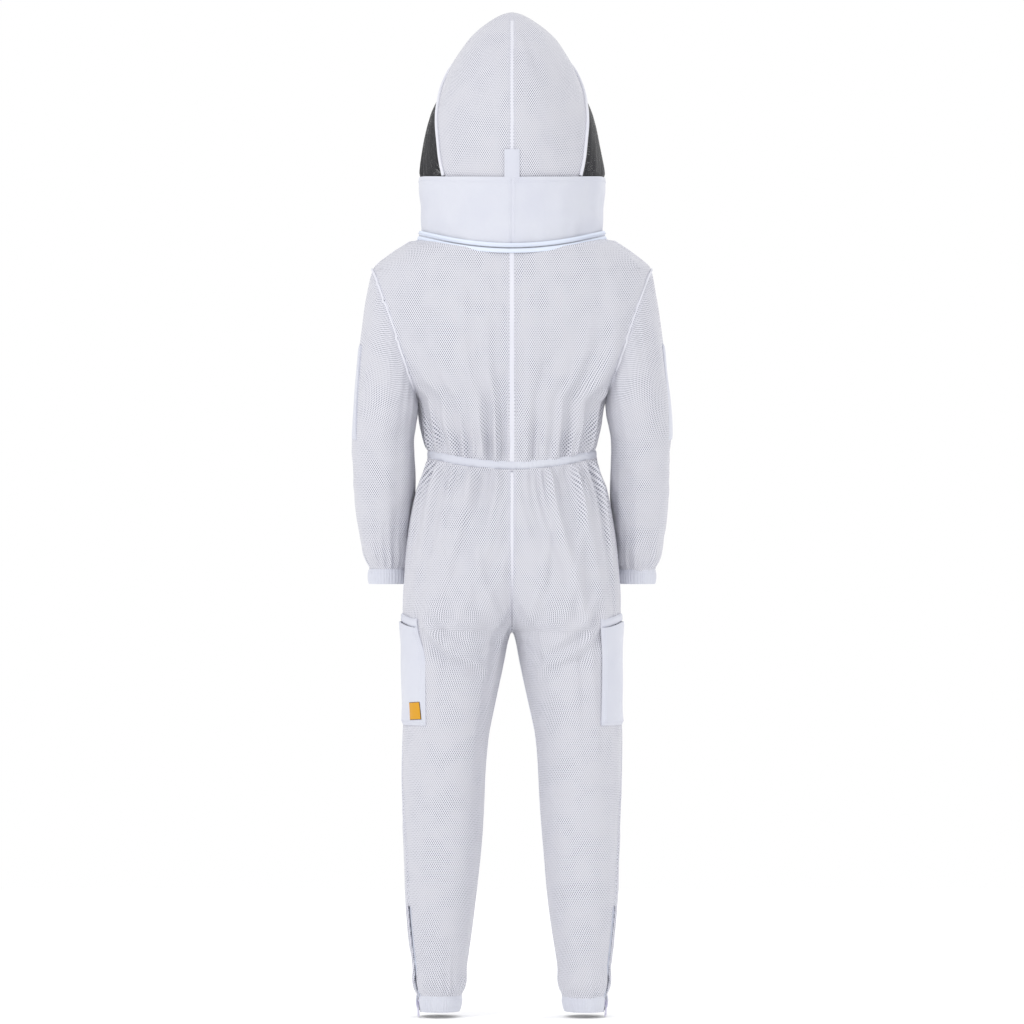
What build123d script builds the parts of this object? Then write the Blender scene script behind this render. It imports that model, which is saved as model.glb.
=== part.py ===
"""Ventilated beekeeping suit with a fencing-veil hood, standing empty as if worn.

+Z is up, -Y is the wearer's front and +X the wearer's left. The origin is the middle of the neck
ring, where the suit hangs on the shoulders. Millimetres.
"""
import os
from math import cos, radians, sin, sqrt

from build123d import *

os.makedirs("parts", exist_ok=True)

# cloth
mesh_wall = 3.0            # three-layer spacer mesh of the suit
veil_wall = 1.2
body_gap = 0.6             # clearance between pieces that move against each other
trim_gap = 0.3             # clearance between trim and the cloth under it

# neck ring, which dips between the shoulders
neck_half_width = 162.0
neck_front, neck_back = -129.5, 131.0
neck_dip = -20.0           # height of the ring at centre front and centre back
neck_dip_radius = 518.0    # curve of the ring seen from behind
coil_width = 2.8           # each half of a zip's coil
coil_depth = 3.0
tape_thickness = 1.2
tape_width = 14.0

# waist
waist_half_width = 150.0
waist_dip = -408.0
waist_dip_radius = 540.0
waist_casing_height = 18.0
elastic_thickness = 1.8

# planes where the limbs bend
armhole_top = (250.0, -54.0)          # x and z on the shoulder
armhole_bottom = (167.0, -288.0)      # x and z in the armpit
elbow_height = -372.0
cuff_top, cuff_bottom = -594.0, -621.0
hip_inner_height, hip_outer_height = -712.0, -640.0
hip_outer_width = 199.0
knee_height = -1010.0
ankle_cuff_top, ankle_cuff_bottom = -1359.0, -1388.0
side_seam = 4.0            # y of the seams between the front and back panels

# front zip
placket_half_width = 9.0
front_zip_top, front_zip_bottom = -27.0, -520.0
front_face = -133.0        # y of the straight centre front
front_slider_height = -44.0

# hood
collar_top = 111.0
hood_flip_y, hood_flip_z = 139.0, -21.0

# ankle zips, on the outer side and a little to the back
ankle_zip_turn = 24.0      # degrees from the outer side towards the back
ankle_zip_top = -1197.0
ankle_slider_height = -1371.0

# pockets
pocket_cavity = 5.6
pocket_skin = 2.0
pocket_rim = 5.0

# height, half width, front, back
torso_table = [
    (12, 165.5, -133, 134.5), (-8, 192, -133, 134.5), (-22, 214, -133, 135), (-54, 250, -133, 136),
    (-120, 262, -133, 138), (-189, 252, -133, 136), (-250, 212, -133, 126), (-290, 168, -133, 117),
    (-330, 160, -133, 107), (-378, 150, -133, 97), (-420, 150, -133, 97),
]
hood_table = [
    (-24, 165.5, -133, 134.5), (21, 165, -134, 135), (50, 163, -143, 138), (93, 168, -157, 143),
    (111, 167, -162, 145), (150, 163, -174, 149), (194, 156, -181, 148), (223, 148.5, -180, 144),
    (252, 136, -174, 136), (280, 124, -163, 126), (309, 112, -148, 112), (334, 98, -128, 95),
    (356, 83, -104, 76), (378, 62, -76, 53), (392, 43, -51, 34), (406, 17, -20, 12), (410, 5, -8, 2),
]
# height, outer side, inner side (negative where the two legs run into each other), front, back
leg_table = [
    (-376, 150, -150, -133, 97), (-414, 158, -158, -133, 102), (-450, 172, -172, -133, 112),
    (-522, 184, -140, -133, 126), (-600, 192, -82, -129, 133), (-650, 195, -44, -121, 129),
    (-690, 195, -12, -111, 118), (-712, 195, 3, -106, 108), (-760, 195, 14, -101, 100),
    (-830, 195, 30, -96, 92), (-900, 198, 43, -91, 84), (-1010, 197, 51, -84, 74),
    (-1150, 193, 62, -70, 79), (-1190, 190.5, 66, -66, 78), (-1390, 168.5, 95, -41, 61),
]
# outer x and z, inner x and z, middle y, half depth
sleeve_table = [
    (250, -54, 167, -288, 4, 80), (264, -125, 168, -303, 2, 80), (274, -200, 169, -316, 0, 77),
    (283, -290, 173, -335, -4, 71), (287, -372, 178, -372, -12, 63), (284, -450, 176, -450, -25, 56),
    (273, -540, 184, -540, -42, 46), (259, -594, 191, -594, -52, 35), (258, -630, 192, -630, -56, 34),
]
# y and z of the seam between the hood's back panels and the veil, seen from the side
veil_seam = [(99, 100), (97, 113), (70, 189), (-18, 262), (-58, 340), (-74, 430)]


def flat_sections(table):
    """Elliptical sections of an upright, centred shell."""
    return [
        (Plane((0, (front + back) / 2, height)), half_width, (back - front) / 2)
        for height, half_width, front, back in table
    ]


def leg_section(height):
    """Middle x, middle y, half width and half depth of the left leg at a height."""
    for upper, lower in zip(leg_table, leg_table[1:]):
        if height >= lower[0]:
            break
    share = (upper[0] - height) / (upper[0] - lower[0])
    outer, inner, front, back = (u + share * (w - u) for u, w in zip(upper[1:], lower[1:]))
    return (outer + inner) / 2, (front + back) / 2, (outer - inner) / 2, (back - front) / 2


def leg_sections():
    """Elliptical sections of the left leg from the waist to the hem."""
    sections = []
    for height, *_ in leg_table:
        middle_x, middle_y, half_width, half_depth = leg_section(height)
        sections.append((Plane((middle_x, middle_y, height)), half_width, half_depth))
    return sections


def sleeve_sections():
    """Elliptical sections of the left sleeve, fanning out from the armpit."""
    sections = []
    for outer_x, outer_z, inner_x, inner_z, middle_y, half_depth in sleeve_table:
        across = Vector(outer_x - inner_x, 0, outer_z - inner_z)
        middle = Vector((outer_x + inner_x) / 2, middle_y, (outer_z + inner_z) / 2)
        place = Plane(middle, x_dir=across, z_dir=(-across.Z, 0, across.X))
        sections.append((place, across.length / 2, half_depth))
    return sections


def skin(sections, wall, grow=0.0, cap=False):
    """Hollow tube of cloth through the sections, its outside grown by a clearance."""
    hollow = sections[:-1] if cap else sections
    with BuildPart() as tube:
        for place, half_width, half_depth in sections:
            with BuildSketch(place):
                Ellipse(half_width + grow, half_depth + grow)
        loft(ruled=True)
        for place, half_width, half_depth in hollow:
            with BuildSketch(place):
                Ellipse(half_width + grow - wall, half_depth + grow - wall)
        loft(ruled=True, mode=Mode.SUBTRACT)
    return tube.part


def ring(half_width, front, back, wall, low, high):
    """Upright elliptical band."""
    return skin(flat_sections([(high, half_width, front, back), (low, half_width, front, back)]), wall)


def block(low, high):
    """Box between two corners."""
    size = [b - a for a, b in zip(low, high)]
    middle = [(a + b) / 2 for a, b in zip(low, high)]
    with BuildPart(Plane(middle)) as box:
        Box(*size)
    return box.part


def dip(radius, low, high):
    """Slab whose faces dip at the centre with the given radius, seen from behind."""
    reach = 340.0
    rise = radius - sqrt(radius ** 2 - reach ** 2)
    with BuildPart() as slab:
        with BuildSketch(Plane.XZ):
            with BuildLine():
                floor = ThreePointArc((-reach, low + rise), (0, low), (reach, low + rise))
                roof = ThreePointArc((-reach, high + rise), (0, high), (reach, high + rise))
                Line(floor @ 0, roof @ 0)
                Line(floor @ 1, roof @ 1)
            make_face()
        extrude(amount=300, both=True)
    return slab.part


def behind_veil_seam(shift):
    """Everything behind the veil's seam, with the seam moved towards the back by a shift."""
    with BuildPart() as region:
        with BuildSketch(Plane.YZ):
            with BuildLine():
                seam = Spline([(y + shift, z) for y, z in veil_seam])
                Polyline(seam @ 0, (260, veil_seam[0][1]), (260, veil_seam[-1][1]), seam @ 1)
            make_face()
        extrude(amount=300, both=True)
    return region.part


def write(piece, name):
    """Label a finished piece and write it to its own file."""
    piece.part.label = name
    export_step(piece.part, f"parts/{name}.step")


def write_pair(left_piece, name):
    """Write the piece of the wearer's left side and its mirror image for the right."""
    write(left_piece, f"{name}_left")
    with BuildPart() as right_piece:
        mirror(left_piece.part, about=Plane.YZ)
    write(right_piece, f"{name}_right")


# half spaces as planes: the kept side is the one that the normal points to
left_half = Plane.YZ
back_half = Plane((0, side_seam, 0), z_dir=(0, 1, 0))
front_half = Plane((0, side_seam, 0), z_dir=(0, -1, 0))
armhole_run = Vector(armhole_top[0] - armhole_bottom[0], 0, armhole_top[1] - armhole_bottom[1])
armhole_out = Vector(armhole_run.Z, 0, -armhole_run.X).normalized()
armhole_point = Vector(armhole_top[0], 0, armhole_top[1])
hip_run = Vector(hip_outer_width, 0, hip_outer_height - hip_inner_height)
hip_down = Vector(hip_run.Z, 0, -hip_run.X).normalized()
hip_point = Vector(0, 0, hip_inner_height)


def cut_at(point, direction, shift=0.0):
    """Plane through a point moved along its own normal."""
    return Plane(point + direction * shift, z_dir=direction)


# shells that the panels are cut from
torso_skin = skin(flat_sections(torso_table), mesh_wall)
hood_skin = skin(flat_sections(hood_table), mesh_wall, cap=True)
veil_skin = skin(flat_sections(hood_table), veil_wall, cap=True)
leg_skin = skin(leg_sections(), mesh_wall)
sleeve_skin = skin(sleeve_sections(), mesh_wall)
placket = block((-placket_half_width, -200, front_zip_bottom), (placket_half_width, -100, 40))

# ---- torso panels
torso_top = dip(neck_dip_radius, neck_dip - coil_width - body_gap, 300)
torso_bottom = dip(waist_dip_radius, -600, waist_dip + waist_casing_height / 2)
for panel, seam_side in (("back_panel", back_half), ("front_panel", front_half)):
    with BuildPart() as torso_panel:
        add(torso_skin)
        add(torso_top, mode=Mode.SUBTRACT)
        add(torso_bottom, mode=Mode.SUBTRACT)
        add(placket, mode=Mode.SUBTRACT)
        split(bisect_by=left_half, keep=Keep.TOP)
        split(bisect_by=seam_side, keep=Keep.TOP)
        split(bisect_by=cut_at(armhole_point, armhole_out * -1, body_gap / 2), keep=Keep.TOP)
    write_pair(torso_panel, panel)

with BuildPart() as centre_back_tape:
    add(skin(flat_sections(torso_table), 1.4, grow=1.4 + trim_gap))
    add(torso_top, mode=Mode.SUBTRACT)
    add(torso_bottom, mode=Mode.SUBTRACT)
    add(block((-4, 20, -500), (4, 200, 100)), mode=Mode.INTERSECT)
write(centre_back_tape, "centre_back_tape")

# ---- waist
waist_front, waist_back = front_face - 1, 98.5
half_casing = waist_casing_height / 2
with BuildPart() as elastic_channel:
    add(ring(waist_half_width + 0.3, waist_front + 1.2, waist_back - 1.2, 2.6, -450, -330))
    add(dip(waist_dip_radius, waist_dip - half_casing + 2, waist_dip + half_casing - 2),
        mode=Mode.INTERSECT)
with BuildPart() as waist_casing:
    add(ring(waist_half_width + 1.5, waist_front, waist_back, 5.0, -450, -330))
    add(dip(waist_dip_radius, waist_dip - half_casing, waist_dip + half_casing), mode=Mode.INTERSECT)
    add(elastic_channel.part, mode=Mode.SUBTRACT)
    add(placket, mode=Mode.SUBTRACT)
write(waist_casing, "waist_casing")

with BuildPart() as waist_elastic:
    add(ring(waist_half_width - 0.1, waist_front + 1.6, waist_back - 1.6, elastic_thickness, -450, -330))
    add(dip(waist_dip_radius, waist_dip - half_casing + 2.6, waist_dip + half_casing - 2.6),
        mode=Mode.INTERSECT)
    add(placket, mode=Mode.SUBTRACT)
write(waist_elastic, "waist_elastic")

# ---- seat and hips, down to the slanting line where the legs swing
below_waist = dip(waist_dip_radius, waist_dip - half_casing, 200)
for panel, seam_side in (("seat_panel", back_half), ("hip_panel", front_half)):
    with BuildPart() as lower_panel:
        add(leg_skin)
        add(below_waist, mode=Mode.SUBTRACT)
        add(placket, mode=Mode.SUBTRACT)
        split(bisect_by=cut_at(hip_point, hip_down * -1, body_gap / 2), keep=Keep.TOP)
        split(bisect_by=left_half, keep=Keep.TOP)
        split(bisect_by=seam_side, keep=Keep.TOP)
    write_pair(lower_panel, panel)

# ---- legs
with BuildPart() as leg_upper:
    add(leg_skin)
    split(bisect_by=cut_at(hip_point, hip_down, body_gap / 2), keep=Keep.TOP)
    split(bisect_by=Plane.XY.offset(knee_height + body_gap / 2), keep=Keep.TOP)
write_pair(leg_upper, "leg_upper")

zip_turn = radians(ankle_zip_turn)


def ankle_zip_point(height):
    """Point of the left ankle zip's line on the outside of the leg."""
    middle_x, middle_y, half_width, half_depth = leg_section(height)
    return Vector(middle_x + half_width * cos(zip_turn), middle_y + half_depth * sin(zip_turn), height)


ankle_zip_up = (ankle_zip_point(ankle_zip_top) - ankle_zip_point(ankle_cuff_bottom)).normalized()
hem_x, hem_y, hem_width, hem_depth = leg_section(ankle_slider_height)
ankle_round = Vector(-hem_width * sin(zip_turn), hem_depth * cos(zip_turn), 0)
ankle_out = ankle_round.cross(ankle_zip_up).normalized()
ankle_across = ankle_zip_up.cross(ankle_out)
ankle_plane = Plane(ankle_zip_point(ankle_slider_height), x_dir=ankle_across, z_dir=ankle_out)
ankle_zip_length = (ankle_zip_point(ankle_zip_top) - ankle_zip_point(ankle_slider_height)).length
ankle_slot_low = -ankle_plane.to_local_coords(ankle_zip_point(ankle_cuff_bottom)).Y + 4
with BuildPart(ankle_plane) as ankle_slot:
    with Locations((0, (ankle_zip_length - ankle_slot_low) / 2, 0)):
        Box(2 * placket_half_width, ankle_zip_length + ankle_slot_low, 26)

with BuildPart() as leg_lower:
    add(leg_skin)
    split(bisect_by=Plane.XY.offset(knee_height - body_gap / 2), keep=Keep.BOTTOM)
    split(bisect_by=Plane.XY.offset(ankle_cuff_top), keep=Keep.TOP)
    add(ankle_slot.part, mode=Mode.SUBTRACT)
write_pair(leg_lower, "leg_lower")


def hem_sections(section_at, high, low, grow):
    """Two sections of a limb's cuff, grown outwards."""
    sections = []
    for height in (high, low):
        middle_x, middle_y, half_width, half_depth = section_at(height)
        sections.append((Plane((middle_x, middle_y, height)), half_width + grow, half_depth + grow))
    return sections


def sleeve_section(height):
    """Middle x, middle y, half width and half depth of the left sleeve's cuff."""
    upper, lower = sleeve_table[-2:]
    share = (upper[1] - height) / (upper[1] - lower[1])
    outer, middle, depth = (upper[i] + share * (lower[i] - upper[i]) for i in (0, 4, 5))
    inner = upper[2] + share * (lower[2] - upper[2])
    return (outer + inner) / 2, middle, (outer - inner) / 2, depth


for name, section_at, high, low, slot in (
    ("ankle", leg_section, ankle_cuff_top, ankle_cuff_bottom, True),
    ("wrist", sleeve_section, cuff_top, cuff_bottom, False),
):
    with BuildPart() as cuff:
        add(skin(hem_sections(section_at, high, low, 1.2), 5.0))
        add(skin(hem_sections(section_at, high - 2, low + 2, 0.0), 2.6), mode=Mode.SUBTRACT)
        if slot:
            add(ankle_slot.part, mode=Mode.SUBTRACT)
    write_pair(cuff, f"{name}_cuff")
    with BuildPart() as elastic:
        add(skin(hem_sections(section_at, high - 2.6, low + 2.6, -0.4), elastic_thickness))
        if slot:
            add(ankle_slot.part, mode=Mode.SUBTRACT)
    write_pair(elastic, f"{name}_elastic")

# ---- sleeves
with BuildPart() as sleeve_upper:
    add(sleeve_skin)
    split(bisect_by=cut_at(armhole_point, armhole_out, body_gap / 2), keep=Keep.TOP)
    split(bisect_by=Plane.XY.offset(elbow_height + body_gap / 2), keep=Keep.TOP)
write_pair(sleeve_upper, "sleeve_upper")

with BuildPart() as sleeve_lower:
    add(sleeve_skin)
    split(bisect_by=Plane.XY.offset(elbow_height - body_gap / 2), keep=Keep.BOTTOM)
    split(bisect_by=Plane.XY.offset(cuff_top), keep=Keep.TOP)
write_pair(sleeve_lower, "sleeve_lower")

with BuildPart() as sleeve_patch:
    add(skin(sleeve_sections(), 1.4, grow=1.4 + trim_gap))
    add(block((230, -52, -364), (320, 38, -190)), mode=Mode.INTERSECT)
write_pair(sleeve_patch, "sleeve_patch")

# ---- hood
behind = behind_veil_seam(0)
with BuildPart() as hood_back:
    add(hood_skin)
    add(behind, mode=Mode.INTERSECT)
    split(bisect_by=Plane.XY.offset(collar_top), keep=Keep.TOP)
    split(bisect_by=left_half, keep=Keep.TOP)
write_pair(hood_back, "hood_back")

with BuildPart() as veil:
    add(veil_skin)
    split(bisect_by=Plane.XY.offset(collar_top), keep=Keep.TOP)
    add(behind, mode=Mode.SUBTRACT)
write(veil, "veil")

with BuildPart() as collar:
    add(hood_skin)
    split(bisect_by=Plane.XY.offset(collar_top), keep=Keep.BOTTOM)
    add(dip(neck_dip_radius, -400, neck_dip + coil_width + body_gap), mode=Mode.SUBTRACT)
    split(bisect_by=left_half, keep=Keep.TOP)
write_pair(collar, "collar")

with BuildPart() as hood_piping:
    add(skin(flat_sections(hood_table), 3.0, grow=3.0 + trim_gap, cap=True))
    add(behind_veil_seam(-2), mode=Mode.INTERSECT)
    add(behind_veil_seam(2), mode=Mode.SUBTRACT)
    split(bisect_by=Plane.XY.offset(collar_top), keep=Keep.TOP)
write(hood_piping, "hood_piping")

with BuildPart() as hood_centre_tape:
    add(skin(flat_sections(hood_table), 1.4, grow=1.4 + trim_gap, cap=True))
    add(block((-3, 0, 153), (3, 200, 390)), mode=Mode.INTERSECT)
    add(behind_veil_seam(3), mode=Mode.INTERSECT)
write(hood_centre_tape, "hood_centre_tape")

with BuildPart() as hood_tab:
    add(skin(flat_sections(hood_table), 2.0, grow=2.0 + trim_gap))
    add(block((-13.5, 60, 103), (13.5, 200, 151)), mode=Mode.INTERSECT)
write(hood_tab, "hood_tab")

hoop_inset = mesh_wall + trim_gap
with BuildPart() as edge_hoop:
    add(skin(flat_sections(hood_table[:-1]), 2.4, grow=-hoop_inset, cap=True))
    add(behind_veil_seam(-3), mode=Mode.INTERSECT)
    add(behind_veil_seam(3), mode=Mode.SUBTRACT)
    split(bisect_by=Plane.XY.offset(collar_top), keep=Keep.TOP)
hoop_tilt = Plane((0, 40, 150), z_dir=(0, 0.34, 0.94))
with BuildPart() as veil_hoops:
    add(skin(flat_sections(hood_table), 2.4, grow=-hoop_inset, cap=True))
    split(bisect_by=hoop_tilt, keep=Keep.TOP)
    split(bisect_by=hoop_tilt.offset(6), keep=Keep.BOTTOM)
    add(behind_veil_seam(-12), mode=Mode.SUBTRACT)
    add(edge_hoop.part)
write(veil_hoops, "veil_hoops")

# ---- neck zip: one half on the torso, the other on the hood
for name, tape_low, tape_high, coil_low, coil_high in (
    ("neck_zip_lower", -tape_width, -body_gap / 2, -coil_width, -body_gap / 2),
    ("neck_zip_upper", body_gap / 2, tape_width, body_gap / 2, coil_width),
):
    with BuildPart() as neck_coil:
        add(ring(neck_half_width + coil_depth, neck_front - coil_depth, neck_back + coil_depth,
                 coil_depth + tape_thickness, -60, 40))
        add(dip(neck_dip_radius, neck_dip + coil_low, neck_dip + coil_high), mode=Mode.INTERSECT)
    with BuildPart() as neck_zip:
        add(ring(neck_half_width, neck_front, neck_back, tape_thickness, -60, 40))
        add(dip(neck_dip_radius, neck_dip + tape_low, neck_dip + tape_high), mode=Mode.INTERSECT)
        add(neck_coil.part)
    write(neck_zip, name)

# ---- front zip, its tapes behind the edges of the front panels
tape_face = front_face + 5.0
with BuildPart() as front_zip:
    add(block((1.0, tape_face, front_zip_bottom), (17, tape_face + tape_thickness, front_zip_top - 8)))
    add(block((body_gap / 4, tape_face - coil_depth, front_zip_bottom),
              (body_gap / 4 + coil_width, tape_face, front_zip_top - 8)))
write_pair(front_zip, "front_zip")

# ---- ankle zips
ankle_zip_run = ankle_zip_length + ankle_slot_low - 6
with BuildPart(ankle_plane) as ankle_zip:
    for side in (1, -1):
        with Locations((side * 4.8, (ankle_zip_length - ankle_slot_low) / 2, -5.2)):
            Box(7.6, ankle_zip_run, tape_thickness)
        with Locations((side * (body_gap / 4 + coil_width / 2), (ankle_zip_length - ankle_slot_low) / 2,
                        -4.6 + coil_depth / 2)):
            Box(coil_width, ankle_zip_run, coil_depth)
write_pair(ankle_zip, "ankle_zip")

# ---- sliders: local +Y runs away from the pull, local +Z points out of the cloth
slider_width, slider_length, slider_plate = 9.0, 12.0, 1.5
lug_thickness, lug_span, lug_height = 2.0, 8.0, 4.4
pull_bar_radius, pull_bar_height = 0.8, 2.3
pull_width, pull_length, pull_thickness = 8.0, 26.0, 1.4
window_width, window_length = 4.0, 7.0


def zip_slider(place, flanges):
    """Slider plate with a bridge for the pull; the plate's lower face is at the plane."""
    with BuildPart(place) as slider:
        with BuildSketch(place):
            SlotOverall(slider_length, slider_width, rotation=90)
        extrude(amount=slider_plate)
        with Locations((0, 0, slider_plate + lug_height / 2)):
            Box(lug_thickness, lug_span, lug_height)
        with Locations((0, 0, slider_plate + pull_bar_height)):
            Box(lug_thickness, lug_span - 3.0, 2 * pull_bar_radius + 1.2, mode=Mode.SUBTRACT)
        if flanges:
            with Locations((-slider_width / 2 + 0.5, 0, -1.0), (slider_width / 2 - 0.5, 0, -1.0)):
                Box(1.0, slider_length - 6, 2.0)
    return slider


def zip_pull(place):
    """Pull tab with a window round the slider's bridge, lying flat towards local -Y."""
    with BuildPart() as pull:
        with BuildSketch(place.offset(slider_plate + pull_bar_height - pull_thickness / 2)):
            with Locations((0, -pull_length / 2 + 1.5)):
                RectangleRounded(pull_width, pull_length, 1.2)
            with Locations((0, -window_length / 2 - pull_bar_radius)):
                Rectangle(window_width, window_length, mode=Mode.SUBTRACT)
            with Locations((0, -pull_length + 6)):
                Circle(1.8, mode=Mode.SUBTRACT)
            with Locations((0, pull_bar_radius + 2)):
                Rectangle(pull_width, 4, mode=Mode.SUBTRACT)
        extrude(amount=pull_thickness)
    return pull


front_slider_plane = Plane((0, tape_face - coil_depth - body_gap, front_slider_height),
                           x_dir=(1, 0, 0), z_dir=(0, -1, 0))
front_zip_slider = zip_slider(front_slider_plane, True)
write(front_zip_slider, "front_zip_slider")
front_zip_pull = zip_pull(front_slider_plane)
write(front_zip_pull, "front_zip_pull")

ankle_slider_plane = ankle_plane.offset(-4.6 + coil_depth + body_gap)
ankle_slider = zip_slider(ankle_slider_plane, True)
write_pair(ankle_slider, "ankle_zip_slider")
ankle_pull = zip_pull(ankle_slider_plane)
write_pair(ankle_pull, "ankle_zip_pull")

# the neck sliders meet at centre front and run outwards round a circle that lies along the ring
neck_slider_turn = 5.5     # degrees from centre front to the middle of each slider
ring_depth = (neck_back - neck_front) / 2
ring_rise = neck_dip_radius - sqrt(neck_dip_radius ** 2 - neck_half_width ** 2)
inward = Vector(0, ring_depth, 2 * ring_rise)
neck_turn_radius = neck_half_width ** 2 / inward.length
neck_turn_centre = Vector(0, neck_front, neck_dip) + inward.normalized() * neck_turn_radius
neck_turn_axis = Vector(0, -inward.Z, inward.Y).normalized()
start = radians(neck_slider_turn)
neck_out = (Vector(1, 0, 0) * sin(start) - inward.normalized() * cos(start))
neck_along = (Vector(1, 0, 0) * cos(start) + inward.normalized() * sin(start))
neck_slider_origin = neck_turn_centre + neck_out * (neck_turn_radius + coil_depth + 5.4)
neck_slider_plane = Plane(neck_slider_origin, x_dir=neck_along.cross(neck_out) * -1, z_dir=neck_out)
neck_slider = zip_slider(neck_slider_plane, False)
write_pair(neck_slider, "neck_zip_slider")
neck_pull = zip_pull(neck_slider_plane)
write_pair(neck_pull, "neck_zip_pull")


# ---- pockets
def pocket(sections, low, high):
    """Patch pocket, open at the top, standing off the cloth by its cavity."""
    total = pocket_cavity + pocket_skin
    rim_low = (low[0], low[1] + pocket_rim, low[2] + pocket_rim)
    rim_high = (high[0], high[1] - pocket_rim, high[2] + 20)
    if high[0] - low[0] > high[1] - low[1]:
        rim_low = (low[0] + pocket_rim, low[1], low[2] + pocket_rim)
        rim_high = (high[0] - pocket_rim, high[1], high[2] + 20)
    with BuildPart() as cavity:
        add(skin(sections, pocket_cavity + 2, grow=trim_gap + pocket_cavity))
        add(block(rim_low, rim_high), mode=Mode.INTERSECT)
    with BuildPart() as cup:
        add(skin(sections, total, grow=trim_gap + total))
        add(block(low, high), mode=Mode.INTERSECT)
        add(cavity.part, mode=Mode.SUBTRACT)
    return cup


thigh_pocket = pocket(leg_sections(), (150, -58, -873), (230, 92, -675))
write_pair(thigh_pocket, "thigh_pocket")

chest_low, chest_high = (42, -160, -250), (152, -60, -112)
chest_pocket = pocket(flat_sections(torso_table), chest_low, chest_high)
write(chest_pocket, "chest_pocket")

flap_grow = pocket_cavity + pocket_skin + 2 * trim_gap + 1.6
with BuildPart() as chest_pocket_flap:
    add(skin(flat_sections(torso_table), 1.6, grow=flap_grow))
    add(block((40, -160, -146), (154, -60, -100)), mode=Mode.INTERSECT)
write(chest_pocket_flap, "chest_pocket_flap")

label_grow = trim_gap + pocket_cavity + pocket_skin + trim_gap + 1.0
with BuildPart() as label_patch:
    add(skin(leg_sections(), 1.0, grow=label_grow))
    add(block((150, 48, -862), (230, 76, -830)), mode=Mode.INTERSECT)
write(label_patch, "label_patch")

print("ankle slider", ankle_slider_plane.origin, "up", ankle_zip_up, "out", ankle_out, "across", ankle_across)
print("neck turn", neck_turn_centre, neck_turn_axis, neck_turn_radius)
print("neck slider", neck_slider_plane.origin, "out", neck_out, "across", neck_slider_plane.x_dir)
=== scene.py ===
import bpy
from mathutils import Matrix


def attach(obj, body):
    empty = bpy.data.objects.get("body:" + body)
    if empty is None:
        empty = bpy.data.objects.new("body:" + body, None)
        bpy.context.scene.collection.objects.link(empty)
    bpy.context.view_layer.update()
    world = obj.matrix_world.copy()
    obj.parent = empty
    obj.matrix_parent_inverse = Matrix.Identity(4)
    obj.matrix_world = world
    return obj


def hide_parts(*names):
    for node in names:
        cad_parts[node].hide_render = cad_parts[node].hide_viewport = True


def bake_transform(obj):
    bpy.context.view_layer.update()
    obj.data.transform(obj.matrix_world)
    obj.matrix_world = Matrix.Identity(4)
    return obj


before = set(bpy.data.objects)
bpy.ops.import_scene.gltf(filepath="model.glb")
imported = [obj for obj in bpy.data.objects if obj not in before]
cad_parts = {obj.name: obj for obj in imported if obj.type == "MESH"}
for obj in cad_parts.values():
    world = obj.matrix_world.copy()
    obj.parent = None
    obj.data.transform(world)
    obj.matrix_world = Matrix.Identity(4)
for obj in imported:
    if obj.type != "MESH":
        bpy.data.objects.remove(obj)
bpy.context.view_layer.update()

from math import pi, radians

import bmesh
import bpy
import numpy as np
from mathutils import Vector, noise

# Sizes are in millimetres here and become metres in the meshes. -Y is the wearer's front, +X their left.
MM = 0.001
SIDES = (("left", 1), ("right", -1))

MESH_THICK = 2.6
COTTON_THICK = 1.6
VEIL_THICK = 0.5
GRID_STEP = 5.5            # spacing of the cloth's grid

NECK_DIP, NECK_RADIUS = -20.0, 518.0
NECK_GAP = 3.4             # from the zip's middle to the edge of the cloth
WAIST_DIP, WAIST_RADIUS = -408.0, 540.0
CASING_HALF = 9.0
ELBOW_FROM, ELBOW_TO = -402, -490       # heights between which the cloth bends
HIP_FROM = -712
KNEE_FROM, KNEE_TO = -920, -1090
WELT_TOP, POCKET_MOUTH, POCKET_FOOT = -672, -687, -872
LABEL_HALF_WIDTH, LABEL_HALF_HEIGHT, LABEL_Z = 13.5, 15.0, -846
COLLAR_TOP = 111.0
PLACKET_HALF = 9.0
FRONT_ZIP_BOTTOM = -520.0
TAPE_FACE = -128.0
ARMHOLE_TOP, ARMHOLE_LOW = (250.0, -54.0), (167.0, -288.0)
SLEEVE_SPLIT = -400.0
LEG_SPLIT = -900.0
ANKLE_TOP, ANKLE_HEM = -1359.0, -1388.0
WRIST_TOP, WRIST_HEM = -594.0, -621.0
ANKLE_ZIP_TURN = radians(24)
ANKLE_ZIP_TOP = -1197.0
ZIP_SLOT_HALF = 7.6

# height, half width, front, back
TORSO = [
    (12, 165.5, -133, 134.5), (-8, 192, -133, 134.5), (-22, 214, -133, 135), (-54, 250, -133, 136),
    (-120, 262, -133, 138), (-189, 252, -133, 136), (-250, 212, -133, 126), (-290, 168, -133, 117),
    (-330, 160, -133, 107), (-378, 150, -133, 97), (-420, 150, -133, 97),
]
HOOD = [
    (-24, 165.5, -133, 134.5), (21, 165, -134, 135), (50, 163, -143, 138), (93, 168, -157, 143),
    (111, 167, -162, 145), (150, 163, -174, 149), (194, 156, -181, 148), (223, 148.5, -180, 144),
    (252, 136, -174, 136), (280, 124, -163, 126), (309, 112, -148, 112), (334, 98, -128, 95),
    (356, 83, -104, 76), (378, 62, -76, 53), (392, 43, -51, 34), (406, 17, -20, 12), (410, 3, -5, 1),
]
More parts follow.
